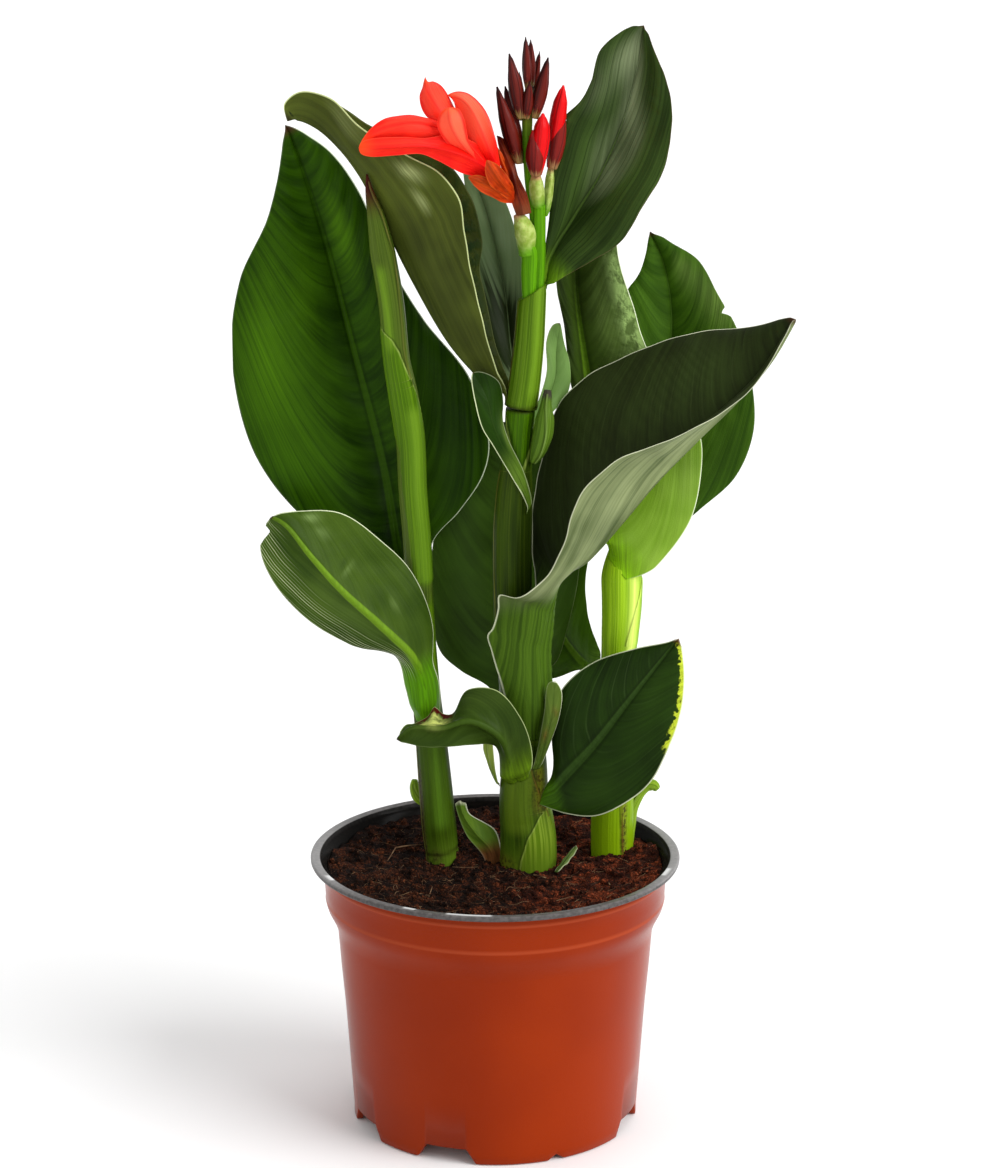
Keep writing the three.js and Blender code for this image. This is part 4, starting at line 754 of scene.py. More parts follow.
class Shader:
    """A principled material whose colour and relief are built from a few kinds of node."""

    def __init__(self, name, roughness, specular, **sockets):
        self.material = bpy.data.materials.new(name)
        self.material.use_nodes = True
        self.tree = self.material.node_tree
        self.surface = self.tree.nodes["Principled BSDF"]
        self.surface.inputs["Roughness"].default_value = roughness
        self.surface.inputs["Specular IOR Level"].default_value = specular
        for socket, value in sockets.items():
            self.surface.inputs[socket.replace("_", " ")].default_value = value

    def node(self, kind, **settings):
        made = self.tree.nodes.new("ShaderNode" + kind)
        for key, value in settings.items():
            setattr(made, key, value)
        return made

    def feed(self, socket, value):
        if isinstance(value, bpy.types.NodeSocket):
            self.tree.links.new(value, socket)
        else:
            socket.default_value = value

    def field(self, name):
        return self.node("Attribute", attribute_name=name).outputs["Fac"]

    def math(self, operation, *values, clamp=False):
        made = self.node("Math", operation=operation, use_clamp=clamp)
        for socket, value in zip(made.inputs, values):
            self.feed(socket, value)
        return made.outputs[0]

    def times(self, value, factor, plus=None, clamp=False):
        if plus is None:
            return self.math("MULTIPLY", value, factor, clamp=clamp)
        return self.math("MULTIPLY_ADD", value, factor, plus, clamp=clamp)

    def step(self, value, low, high):
        """0 below low and 1 above high, or the other way round where low is larger."""
        made = self.node("MapRange", interpolation_type="SMOOTHSTEP")
        ends = (low, high, 0.0, 1.0) if low < high else (high, low, 1.0, 0.0)
        self.feed(made.inputs["Value"], value)
        for key, end in zip(("From Min", "From Max", "To Min", "To Max"), ends):
            made.inputs[key].default_value = end
        return made.outputs["Result"]

    def mix(self, share, low, high):
        made = self.node("Mix", data_type="RGBA")
        self.feed(made.inputs["Factor"], share)
        for socket, colour in ((made.inputs[6], low), (made.inputs[7], high)):
            self.feed(socket, colour if isinstance(colour, bpy.types.NodeSocket)
                      else linear(colour))
        return made.outputs[2]

    def shade(self, colour, factor):
        made = self.node("VectorMath", operation="SCALE")
        self.feed(made.inputs[0], colour)
        self.feed(made.inputs["Scale"], factor)
        return made.outputs[0]

    def vector(self, x, y, z=0.0):
        made = self.node("CombineXYZ")
        for socket, value in zip(made.inputs, (x, y, z)):
            self.feed(socket, value)
        return made.outputs[0]

    def place(self):
        """The point in millimetres."""
        made = self.node("VectorMath", operation="SCALE")
        self.feed(made.inputs[0], self.node("TexCoord").outputs["Object"])
        made.inputs["Scale"].default_value = 1000
        return made.outputs[0]

    def noise(self, vector, scale, detail=2.0, low=0.35, high=0.65):
        made = self.node("TexNoise")
        self.feed(made.inputs["Vector"], vector)
        made.inputs["Scale"].default_value = scale
        made.inputs["Detail"].default_value = detail
        return self.step(made.outputs["Fac"], low, high)

    def speckle(self, vector, scale, size):
        """Round specks: 1 inside a speck."""
        made = self.node("TexVoronoi")
        self.feed(made.inputs["Vector"], vector)
        made.inputs["Scale"].default_value = scale
        return self.step(made.outputs["Distance"], size, size * 0.5)

    def bump(self, height, distance, strength=1.0, under=None):
        made = self.node("Bump")
        made.inputs["Strength"].default_value = strength
        made.inputs["Distance"].default_value = distance * MM
        self.feed(made.inputs["Height"], height)
        if under is not None:
            self.feed(made.inputs["Normal"], under)
        return made.outputs[0]

    def done(self, colour, normal=None, roughness=None):
        self.feed(self.surface.inputs["Base Color"], colour)
        if normal is not None:
            self.feed(self.surface.inputs["Normal"], normal)
        if roughness is not None:
            self.feed(self.surface.inputs["Roughness"], roughness)
        return self.material


def blade_shader(name, dark, light, rib, low=None, low_rib=None, highlight_colour=(110, 136, 70),
                 shade_colour=(20, 34, 8), spot_and_sheen=(150, 170, 100), foot=None, foot_light=None,
                 foot_from=0.03, foot_to=0.14, foot_dim=0.0, margin=(176, 190, 130),
                 margin_width=0.4, margins=(0.5, 0.5), rib_width=2.2, rib_share=0.85,
                 rib_fade=1.2, tip=(60, 30, 22), tip_start=0.97, streak=0.5, lines=None,
                 line_reach=None, shade_to=None, edge_band=None, roughness=0.38):
    """Leaf surface: side veins, rib, hyaline margins and browned tip; own colours below;
    painted highlights and painted shade in soft patches, and painted shade beside the rib
    and on parts of the foot.

    Places along the blade are shares of its length. lines is (colour, pitch, width, strength,
    shares of the left and right half), shade_to (colour, from, to) a painted shade from there to
    the tip, and edge_band (colour, width, from, to, side)."""
    s = Shader(name, roughness, 0.045)
    vein, ribbed, edge, along = (s.field(k) for k in ("vein", "rib", "edge", "along"))
    away = s.math("ABSOLUTE", ribbed)
    right_side = s.step(ribbed, -0.1, 0.1)

    def grain(along_vein, across_vein, detail):
        return s.noise(s.vector(s.times(vein, along_vein),
                                s.times(ribbed, across_vein)), 1.0, detail)

    coarse, fine, hair = grain(0.11, 0.03, 3.0), grain(0.42, 0.05, 3.0), grain(1.3, 0.08, 2.0)
    cloudy = s.noise(s.place(), 0.03, 2.0, 0.3, 0.7)
    tone = s.times(coarse, streak * 0.6)
    tone = s.times(fine, streak * 0.3, tone)
    tone = s.times(hair, streak * 0.1, tone)
    tone = s.times(cloudy, 1.0 - streak, tone, clamp=True)
    upper = s.mix(tone, dark, light)
    lower = s.mix(tone, *(low or (dark, light)))
    # painted shade over the blade from a share of its length to the tip
    if shade_to:
        colour, start, end = shade_to
        shaded = s.mix(tone, colour, scaled(colour, 1.5))
        upper = s.mix(s.step(along, start, end), upper, shaded)
    # painted highlights where the patch field is positive, painted shade where it is negative
    painted_light = s.field("painted_light")
    uneven = s.times(fine, 0.5, 0.65)
    lit = s.times(painted_light, uneven, clamp=True)
    dim = s.times(s.times(painted_light, -1.0), uneven, clamp=True)
    upper = s.mix(dim, s.mix(lit, upper, highlight_colour), shade_colour)
    lower = s.mix(dim, s.mix(lit, lower, highlight_colour), shade_colour)
    if lines:
        line_colour, pitch, width, share, sides = lines
        shifted = s.times(cloudy, 2.0, vein)
        gap = s.math("PINGPONG", shifted, pitch / 2)
        broken = s.noise(s.vector(s.times(vein, 0.09), s.times(away, 0.05),
                                  7.0), 1.0, 2.0, 0.38, 0.6)
        thread = s.times(s.step(gap, width, width * 0.2), broken)
        thread = s.times(thread, s.step(away, 1.0, 4.0))
        if line_reach:
            thread = s.times(thread, s.step(edge, line_reach, line_reach * 0.3))
        left_share, right_share = (share * side for side in sides)
        thread = s.times(thread, s.times(right_side, right_share - left_share, left_share))
        upper = s.mix(thread, upper, line_colour)
        lower = s.mix(thread, lower, line_colour)
    width = s.times(along, -rib_width * 0.8, rib_width)
    from_rib = s.math("DIVIDE", away, width)
    ribs = s.times(s.step(from_rib, 1.0, 0.6), s.step(along, rib_fade, rib_fade * 0.6))
    ribs = s.times(ribs, s.times(fine, 0.25, rib_share - 0.15))
    # painted shade in the grooves beside the rib
    ditch = s.times(s.step(from_rib, 1.9, 1.15), s.step(from_rib, 0.7, 1.0))
    upper = s.mix(ribs, s.mix(s.times(ditch, 0.4), upper, shade_colour), rib)
    lower = s.mix(ribs, lower, low_rib or rib)
    colour = s.mix(s.field("under"), upper, lower)
    if foot:
        near = s.step(s.times(away, 0.002, along), foot_to, foot_from)
        reed = s.noise(s.vector(s.times(ribbed, 0.9), s.times(along, 2.5)), 1.0, 3.0, 0.25, 0.75)
        stripes = s.mix(reed, scaled(foot, 0.9), foot_light or scaled(foot, 1.3))
        # the foot is darkened by the same painted shade, as far as its look asks
        colour = s.mix(near, colour, s.mix(s.times(dim, foot_dim), stripes, shade_colour))
    crumple = s.noise(s.place(), 0.16, 3.0, 0.36, 0.6)
    # spot patches: the leaves' own marks, and on leaf_light a painted highlight along its fold
    spots = s.times(s.field("spot_and_sheen"), s.times(crumple, 0.9, 0.25), clamp=True)
    colour = s.mix(spots, colour, spot_and_sheen)
    if edge_band:
        band_colour, band_width, start, end, side = edge_band
        ragged = s.times(s.noise(s.place(), 0.42, 4.0), band_width * 0.6, band_width * 0.25)
        share = s.step(s.math("SUBTRACT", edge, ragged), 0.6, -0.6)
        share = s.times(share, s.step(along, start, start + 0.04))
        share = s.times(share, s.step(along, end, end - 0.04))
        share = s.times(share, s.step(s.times(ribbed, side), 0.0, 1.0))
        colour = s.mix(share, colour, s.mix(hair, band_colour, scaled(band_colour, 0.8)))
    rim = s.step(s.math("DIVIDE", edge, margin_width), 1.0, 0.3)
    rim = s.times(rim, s.step(along, 0.0, 0.08))
    rim = s.times(rim, s.times(right_side, margins[1] - margins[0], margins[0]))
    rim = s.times(rim, s.times(cloudy, 0.4, 0.75), clamp=True)
    colour = s.mix(rim, colour, margin)
    browned = s.step(s.times(cloudy, 0.012, along), tip_start, 0.99)
    colour = s.mix(s.times(browned, 0.85), colour, tip)
    relief = s.times(fine, 0.3, s.times(coarse, 0.7))
    normal = s.bump(relief, 0.2, 0.6)
    normal = s.bump(s.times(crumple, s.field("spot_and_sheen")), 1.2, 0.8, normal)
    normal = s.bump(s.noise(s.place(), 1.6, 3.0), 0.05, 0.5, normal)
    rough = s.times(cloudy, 0.1, roughness - 0.05)
    return s.done(colour, normal, rough)


def stem_shader(name, dark, light, inner=None, second=None, highlight_colour=None, stripe=(130, 160, 50),
                stripes=0.3, pale=(140, 160, 70), brown=(92, 56, 26), stain=(120, 95, 50),
                top=None, foot=None, belt=None):
    """Sheath surface: lengthwise stripes, pale or rusty lips, dry stains, dark node rings, painted
    highlights, and painted shade just beyond each lip.

    second colours what a wrap covers, and inner what an opening shows, each as (dark, light).
    belt is (dark, light, from z, to z), on stem_middle a painted shade; foot and top are
    (colour, from z, to z)."""
    s = Shader(name, 0.36, 0.055)
    cx, cy, height = s.field("cx"), s.field("cy"), s.field("height")

    def grain(round_scale, up_scale, low, high):
        return s.noise(s.vector(s.times(cx, round_scale),
                                s.times(cy, round_scale),
                                s.times(height, up_scale)), 1.0, 2.0, low, high)

    wide = grain(2.2, 0.012, 0.35, 0.65)
    thin = grain(9.0, 0.012, 0.42, 0.62)
    line = grain(17.0, 0.008, 0.52, 0.62)
    colour = s.mix(s.times(thin, 0.45, s.times(wide, 0.55)), dark, light)
    # a band of other colours; on stem_middle it is painted shade
    if belt:
        shaded = s.times(s.step(height, belt[2] - 8, belt[2] + 16),
                         s.step(height, belt[3] + 2, belt[3] - 2))
        colour = s.mix(shaded, colour, s.mix(wide, *belt[:2]))
    if second:
        colour = s.mix(s.field("tone"), colour, s.mix(thin, *second))
    if inner:
        colour = s.mix(s.field("cover"), s.mix(thin, *inner), colour)
    if stripes:
        colour = s.mix(s.times(line, stripes), colour, stripe)
    # painted highlights
    if highlight_colour:
        painted_light = s.times(s.field("painted_highlight"), s.times(wide, 0.4, 0.6))
        colour = s.mix(painted_light, colour, highlight_colour)
    if foot:
        tone, low, high = foot
        colour = s.mix(s.step(height, high, low), colour, tone)
    if top:
        tone, low, high = top
        colour = s.mix(s.step(height, low, high), colour, tone)
    net = s.noise(s.place(), 0.55, 4.0, 0.42, 0.6)
    colour = s.mix(s.times(s.field("stain"), s.times(net, 0.6, 0.4)),
                   colour, s.mix(net, stain, scaled(stain, 0.5)))
    lip = s.field("lip")
    near = s.times(s.step(lip, -0.15, 0.05), s.step(lip, 1.1, 0.5))
    colour = s.mix(s.times(near, s.times(thin, 0.4, 0.3)), colour,
                   s.mix(s.field("rust"), pale, brown))
    # painted shade just beyond each lip, on the layer beneath it
    dim = s.times(s.step(lip, -1.6, -0.2), s.step(lip, 0.0, -0.2))
    colour = s.shade(colour, s.times(dim, -0.5, 1.0))
    colour = s.mix(s.times(s.field("mark"), 0.9), colour, (40, 44, 8))
    normal = s.bump(thin, 0.2, 0.5)
    normal = s.bump(s.noise(s.place(), 1.2, 3.0), 0.06, 0.5, normal)
    return s.done(colour, normal)


# Colours here and below are sRGB, 0 to 255.
LOOKS = {
    "broad": dict(dark=(16, 40, 0), light=(50, 86, 3), rib=(48, 80, 7), rib_width=3.4,
                  rib_fade=0.85, highlight_colour=(78, 124, 8), shade_colour=(12, 30, 1), foot=(66, 98, 12),
                  low=((48, 78, 16), (76, 108, 36)), margin=(206, 220, 186),
                  margins=(0.1, 1.0), margin_width=0.8, streak=0.7,
                  lines=((12, 30, 1), 12.0, 1.0, 0.35, (1, 1))),
    "small_left": dict(dark=(26, 45, 5), light=(52, 80, 16), rib=(100, 132, 30), rib_width=3.6,
                       low=((36, 57, 9), (66, 89, 24)), low_rib=(104, 140, 28),
                       highlight_colour=(122, 146, 84), shade_colour=(38, 58, 14), foot=(68, 112, 10),
                       foot_to=0.3, foot_from=0.16, margin=(214, 222, 184), margin_width=0.6,
                       margins=(0.45, 0.9), streak=0.4, tip_start=0.985, roughness=0.36,
                       line_reach=17, lines=((182, 192, 148), 3.0, 0.5, 1.2, (1, 0))),
    "curled": dict(dark=(30, 47, 9), light=(56, 77, 23), rib=(54, 76, 20), rib_width=1.8,
                   highlight_colour=(72, 92, 34), foot=(84, 112, 20), foot_to=0.24, margins=(0.15, 0.9),
                   margin_width=0.6, tip=(46, 34, 18), spot_and_sheen=(196, 206, 110),
                   edge_band=((88, 22, 16), 7.0, 0.65, 0.87, 1)),
    "trough": dict(dark=(24, 29, 10), light=(41, 53, 20), rib=(30, 40, 14), rib_width=1.6,
                   low=((54, 70, 30), (144, 155, 108)), low_rib=(88, 102, 52),
                   highlight_colour=(50, 66, 28), shade_colour=(15, 18, 7), foot=(47, 73, 10),
                   foot_light=(72, 102, 22), foot_from=0.27, foot_to=0.37, foot_dim=1.0,
                   margin=(236, 240, 206), margin_width=0.65, margins=(0.6, 1.0), streak=0.62,
                   roughness=0.5, lines=((84, 100, 56), 7.0, 0.8, 0.5, (1, 0.12))),
    "yellow_edge": dict(dark=(19, 33, 7), light=(36, 60, 13), rib=(50, 74, 28), rib_width=3.4,
                        highlight_colour=(56, 84, 24), shade_colour=(16, 26, 6), foot=(56, 90, 12),
                        margins=(1.0, 0.9), margin=(214, 222, 184), margin_width=0.8,
                        tip=(84, 34, 20), tip_start=0.955,
                        edge_band=((192, 208, 54), 4.2, 0.56, 0.985, 1),
                        lines=((66, 90, 44), 10.0, 0.9, 0.25, (1, 0.4))),
    "shade": dict(dark=(35, 53, 12), light=(58, 87, 23), rib=(40, 58, 18), foot=(50, 74, 18),
                  margins=(0.1, 0.25), highlight_colour=(58, 82, 26)),
    "between": dict(dark=(46, 76, 8), light=(74, 112, 18), rib=(98, 134, 32), rib_width=2.8,
                    foot=(88, 124, 26), margins=(0.5, 0.15)),
    "arching": dict(dark=(48, 55, 16), light=(82, 93, 32), rib=(62, 76, 26), rib_width=1.2,
                    highlight_colour=(150, 160, 104), shade_colour=(30, 38, 12), margin=(196, 206, 146),
                    margin_width=0.65, margins=(1.0, 0.1), tip=(40, 36, 20),
                    spot_and_sheen=(34, 54, 22)),
    "grey": dict(dark=(92, 114, 72), light=(124, 146, 102), rib=(100, 120, 80), rib_width=0.8,
                 highlight_colour=(146, 170, 128), shade_colour=(28, 38, 14), streak=0.3, margins=(0.1, 0.1)),
    "bract": dict(dark=(16, 34, 3), light=(34, 62, 8), rib=(34, 58, 10), rib_width=1.0,
                  foot=(78, 108, 24), foot_light=(96, 126, 42), foot_from=0.26, foot_to=0.5,
                  highlight_colour=(120, 148, 60), margin=(206, 216, 170), margins=(1.0, 0.3),
                  margin_width=0.6, streak=0.4),
    "pale": dict(dark=(80, 112, 50), light=(106, 138, 72), rib=(98, 130, 62), rib_width=0.6,
                 margin=(190, 206, 150), margins=(0.3, 0.2), streak=0.3),
    # leaf_light: its part towards the tip is painted shade
    "shaded_top": dict(dark=(94, 132, 22), light=(128, 162, 56), rib=(92, 128, 26),
                     rib_width=4.6, rib_fade=0.75, highlight_colour=(136, 166, 84), shade_colour=(28, 40, 10),
                     foot=(104, 146, 14), margin=(226, 234, 200), margin_width=0.6,
                     margins=(0.05, 0.9), shade_to=((38, 53, 14), 0.39, 0.43), streak=0.45,
                     spot_and_sheen=(142, 170, 98)),
    "back": dict(dark=(32, 60, 6), light=(70, 106, 23), rib=(56, 86, 22), rib_width=1.6,
                 foot=(80, 110, 30), margins=(0.1, 0.2), highlight_colour=(112, 138, 66),
                 shade_colour=(26, 46, 4), streak=0.7, lines=((24, 44, 6), 16.0, 1.2, 0.4, (1, 1))),
    "upper": dict(dark=(22, 36, 9), light=(60, 82, 33), rib=(74, 98, 40), rib_width=1.4,
                  rib_fade=0.8, highlight_colour=(138, 152, 112), shade_colour=(16, 28, 6), foot=(84, 118, 18),
                  foot_to=0.16, margins=(0.2, 0.4), margin=(116, 84, 66), streak=0.75,
                  roughness=0.36, lines=((14, 24, 5), 3.9, 0.45, 0.75, (1, 1))),
    "lobe": dict(dark=(56, 78, 22), light=(92, 112, 44), rib=(70, 94, 32), rib_width=0.8,
                 margin=(216, 222, 186), margins=(0.1, 0.9), margin_width=0.6,
                 tip=(206, 210, 180), spot_and_sheen=(96, 74, 30)),
    "curl": dict(dark=(104, 134, 34), light=(160, 180, 84), rib=(140, 160, 60), rib_width=0.8,
                 margin=(190, 200, 130), tip=(200, 206, 150)),
    "cut": dict(dark=(62, 94, 16), light=(110, 140, 46), rib=(90, 118, 34), rib_width=0.8,
                foot=(92, 58, 32), foot_from=0.3, foot_to=0.5, margin=(222, 224, 198),
                margins=(0.1, 1.0), margin_width=0.9, tip=(206, 206, 176), tip_start=0.93),
    "scrap": dict(dark=(52, 76, 26), light=(104, 124, 60), rib=(44, 64, 20), rib_width=0.7,
                  margin=(206, 206, 172), margins=(0.7, 0.5), tip=(190, 180, 130)),
}

# Soft patches of painted highlight (or, where the amount is negative, painted shade), and
# patches of the spot colour, each as blots() reads them.
PAINTED_LIGHT = {
    "leaf_left_large": [(0.6, -0.7, 0.14, 0.2, 0.5), (0.66, -0.35, 0.08, 0.14, 0.3),
                        (0.77, 0.35, 0.09, 0.2, 0.7), (0.4, 0.75, 0.3, 0.4, -0.45),
                        (0.62, -0.08, 0.16, 0.1, -0.45), (0.95, 0, 0.1, 1, -0.25),
                        (0.3, -0.1, 0.2, 0.12, -0.35), (0.42, -0.5, 0.12, 0.3, 0.2),
                        (0.8, 0.95, 0.2, 0.2, -0.5)],
    "leaf_left_small": [(0.86, 0.75, 0.03, 0.14, 0.7), (0.8, 0.5, 0.03, 0.1, 0.35),
                        (0.66, 0.3, 0.012, 0.12, 0.35), (0.68, 0.34, 0.012, 0.12, -0.6),
                        (0.5, 0.35, 0.03, 0.06, -0.5), (0.47, 0.4, 0.03, 0.06, 0.4),
                        (0.93, 0.2, 0.06, 0.5, -0.6), (0.55, -0.3, 0.2, 0.2, 0.1)],
    "leaf_low_left": [(0.5, 0.7, 0.12, 0.3, 0.3), (0.25, 0.1, 0.1, 0.25, 0.25),
                      (0.75, -0.7, 0.2, 0.3, -0.3)],
    "leaf_trough": [(0.75, 0.4, 0.12, 0.3, 0.3), (0.42, 0.5, 0.12, 0.5, 0.25),
                    (0.2, -0.9, 0.1, 0.4, -0.2)],
    "leaf_low_right": [(0.7, 0.3, 0.15, 0.3, 0.25), (0.3, -0.6, 0.15, 0.3, -0.3),
                       (0.25, 0.6, 0.15, 0.3, 0.2)],
    "leaf_arching": [(0.605, -0.84, 0.03, 0.07, 1.0), (0.54, -0.68, 0.03, 0.02, 0.8),
                     (0.8, -0.87, 0.06, 0.25, 0.28), (0.95, 0.8, 0.06, 0.6, -0.9),
                     (0.3, -0.1, 0.16, 0.6, -0.5), (0.9, 0.2, 0.12, 0.9, -0.45),
                     (0.45, 0.1, 0.16, 0.25, -0.5)],
    "leaf_behind_flower": [(0.64, 0.4, 0.1, 0.5, 0.4), (0.48, -0.7, 0.16, 0.9, -0.7),
                           (0.25, 0, 0.16, 2, -1.7)],
    "leaf_bract": [(0.5, 0.8, 0.12, 0.3, 0.4)],
    "leaf_light": [(0.06, 0.2, 0.05, 0.5, -0.2), (0.3, 0.9, 0.1, 0.2, 0.2),
                   (0.62, -0.75, 0.24, 0.3, -0.9), (0.62, 0.45, 0.14, 0.2, 0.25)],
    "leaf_back_right": [(0.93, 0.1, 0.05, 0.4, -0.3), (0.86, 0.5, 0.05, 0.3, 0.45),
                        (0.8, -0.2, 0.1, 0.3, -0.2), (0.76, 0.9, 0.07, 0.3, 0.5),
                        (0.4, 0.8, 0.14, 0.3, -0.4)],
    "leaf_upper_right": [(0.45, 0.18, 0.1, 0.22, 0.6), (0.65, 0.2, 0.07, 0.16, 0.3),
                         (0.71, -0.72, 0.08, 0.25, 0.2), (0.86, -0.2, 0.1, 0.34, 1.0),
                         (0.7, 0.06, 0.1, 0.18, 0.8), (0.52, -0.1, 0.12, 0.2, 0.3),
                         (0.6, 0.4, 0.08, 0.12, 0.35), (0.35, -0.8, 0.15, 0.3, -0.3),
                         (0.3, 0.5, 0.12, 0.3, -0.3)],
}
# On leaf_light these patches are a painted highlight along its bent right half; on leaf_low_left
# and sheath_lobe they are the leaves' own yellow and brown marks.
SPOTS_AND_SHEEN = {
    "leaf_light": [(0.68, 0.85, 0.12, 0.16, 1.3), (0.5, 0.8, 0.06, 0.25, 0.9)],
    "leaf_arching": [(0.36, 0.8, 0.3, 0.22, 0.9)],
    "leaf_low_left": [(0.76, 0.45, 0.06, 0.28, 2.2)],
    "sheath_lobe": [(0.4, -0.3, 0.08, 0.4, 0.6), (0.65, 0.2, 0.06, 0.5, 0.5)],
}

# ------------------------------------------------------------ leaves

for name, spec in LEAVES.items():
    look = blade_shader(name + "_skin", **LOOKS[spec["look"]])
    big = spec["slot"] in ("mid_leaf", "dark_leaf") or name == "leaf_light"
    columns, spacing, ridge = (37, 1.25, 2.0) if big else (21, 1.0, 0.4)
    points, faces, fields = blade_shell(
        {**spec, "painted_light": PAINTED_LIGHT.get(name, ()), "spot_and_sheen": SPOTS_AND_SHEEN.get(name, ())}, columns, spacing, ridge)
    make(name + "_blade", points, faces, look, spec["slot"], (name,), **fields)

# ------------------------------------------------------------ stems

STEM_LOOKS = {
    "stem_left": dict(dark=(42, 58, 5), light=(58, 82, 9), stripes=0.0, stain=(84, 66, 40),
                      foot=((82, 108, 24), 130, 148), highlight_colour=(78, 112, 24),
                      belt=((66, 98, 6), (94, 130, 16), 214, 300)),
    # stem_middle: its belt is painted shade, behind the trough leaf
    "stem_middle": dict(dark=(34, 52, 6), light=(58, 86, 12), inner=((50, 86, 1), (70, 112, 3)),
                        second=((84, 114, 16), (120, 146, 40)), stripe=(110, 128, 38),
                        stripes=0.12, stain=(116, 104, 30), highlight_colour=(92, 116, 24),
                        foot=((80, 106, 20), 128, 150), belt=((34, 50, 6), (50, 70, 9), 258, 342)),
    "stem_upper": dict(dark=(58, 88, 6), light=(88, 122, 16), stripe=(116, 146, 42),
                       stripes=0.4, stain=(70, 68, 36), highlight_colour=(104, 140, 30)),
    "stem_right": dict(dark=(112, 154, 8), light=(158, 200, 34), stripe=(196, 220, 84),
                       stripes=0.15, pale=(206, 224, 110), highlight_colour=(226, 246, 120),
                       foot=((122, 156, 8), 160, 215)),
}


def mouth(points):
    """The slanting cut across the top of the flower stalk's sheath."""
    level = 432.3 + math.tan(math.radians(32)) * (points[..., 0] - 19)
    out = points.copy()
    out[..., 2] = np.minimum(points[..., 2], level)
    return out


# The highlight patches of each stem are painted highlights.
STEM_DETAILS = {
    "stem_left": dict(
        wraps=[([[FOOT, -168], [150, -160], [190, -163], [240, -150]], -1, 150, 0.35, 0.7, 0)],
        stains=[[128, 182, -158, 16], [131, 137, -110, 20]], painted_highlights=[[150, 200, -84, 30]],
        rings=[(136, 0.9, -0.25)]),
    "stem_middle": dict(
        wraps=[([[116, -112], [135, -106], [147, -91], [158, -56], [163, -12]],
                1, 150, 0.5, 0, 1),
               ([[158, -30], [170, -50], [181, -68], [197, -80]], -1, 130, 0.35, 1, 0),
               ([[256, -150], [280, -158], [314, -164], [340, -166]], -1, 120, 0.3, 0.6, 0)],
        openings=[(341, -75, 3.3, 380)],
        stains=[[160, 184, -48, 22], [124, 136, -150, 30]],
        painted_highlights=[[150, 182, -112, 34], [198, 240, -78, 30]], rings=[(372.4, 0.8, -0.2)]),
    "stem_upper": dict(
        wraps=[([[374, -176], [402, -170], [430, -150]], -1, 90, 0.25, 1, 0),
               ([[374, -20], [400, -14], [433, -6]], 1, 160, 0.25, 0, 0.3)],
        stains=[[374, 430, -172, 10]], painted_highlights=[[380, 440, -62, 18]],
        rings=[(374.2, 1.1, 0.25)], top=mouth),
    "stem_right": dict(
        wraps=[([[246, -70], [256, -56], [264, -44], [279, -13]], 1, 120, 0.45, 0, 0),
               ([[112, -60], [146, -64], [172, -74]], 1, 120, 0.4, 1, 0)],
        stains=[[130, 166, -58, 9]], painted_highlights=[[238, 284, -52, 16], [150, 190, -112, 30]]),
}

for name, path in STEMS.items():
    points, faces, fields = round_shell(path, 72, 1.6, fins=(26, 0.06), **STEM_DETAILS[name])
    make(name + "_skin", points, faces, stem_shader(name + "_skin", **STEM_LOOKS[name]),
         "sheath" if name == "stem_upper" else "stem", (name,), **fields)

# The spear's highlight patches are painted highlights.
points, faces, fields = round_shell(
    SPEAR, 72, 1.2, fins=(19, 0.04),
    wraps=[([[282, 70], [350, 40], [362, 0], [378, -22], [402, -71], [409, -99], [414, -150]],
            -1, 300, 0.55, 0, 1),
           ([[386, -40], [403, -52], [429, -48], [452, -30], [474, -50], [488, -80]],
            1, 60, 0.25, 0.7, 0)],
    painted_highlights=[[280, 372, -56, 30], [404, 446, -112, 26]])
make("leaf_spear_roll", points, faces,
     stem_shader("leaf_spear_skin", dark=(54, 74, 16), light=(86, 106, 32), stripes=0.1,
                 stripe=(112, 134, 56), second=((62, 96, 5), (84, 120, 12)),
                 highlight_colour=(102, 138, 30), pale=(150, 170, 84), brown=(84, 40, 22),
                 top=((66, 24, 16), 468, 486)), "light_leaf", ("leaf_spear",), **fields)

for name, (slot, path) in SIDE_GROWTHS.items():
    points, faces, fields = round_shell(
        path, 32, 0.9, fins=(7, 0.12),
        wraps=[([[path[0][2], -60], [path[-1][2] - 2, -100]], 1, 150, 0.2, 0, 0)])
    if name == "bud_node":
        look = stem_shader(name + "_skin", dark=(52, 80, 12), light=(96, 128, 38), stripes=0.0,
                           pale=(130, 156, 80), top=((58, 56, 44), 377, 381))
    else:
        look = stem_shader(name + "_green", dark=(80, 112, 12), light=(140, 172, 44),
                           stripes=0.15, brown=(110, 50, 30))
    make(name + "_skin", points, faces, look, slot, (name,), **fields)

# ------------------------------------------------------------ flower spike

axis = Bundle()
for path in SPIKE:
    points, faces, fields = round_shell(path, 32, 1.2, fins=(5, 0.12))
    axis.add(points, faces, **fields)
axis.make("spike_axis_skin",
          stem_shader("spike_skin", dark=(60, 112, 2), light=(98, 160, 14), stripes=0.1,
                      top=((96, 88, 36), 500, 530)), "stem", ("spike_axis",))


def ovary_shader(name):
    """Pale warty skin, greener at the foot, with red-brown flecks towards the top."""
    s = Shader(name, 0.5, 0.08)
    spots = s.speckle(s.place(), 0.9, 0.28)
    colour = s.mix(s.noise(s.place(), 0.3, 2.0, 0.3, 0.7), (136, 160, 62), (176, 192, 108))
    colour = s.mix(s.step(s.field("share"), 0.45, 0.0), colour, (88, 142, 16))
    flecks = s.times(spots, s.step(s.field("share"), 0.45, 0.9))
    colour = s.mix(s.times(flecks, 0.8), colour, (150, 70, 50))
    colour = s.mix(s.step(s.field("share"), 0.84, 1.0), colour, (176, 130, 96))
    return s.done(colour, s.bump(s.noise(s.place(), 1.1, 2.0), 0.2, 0.6))


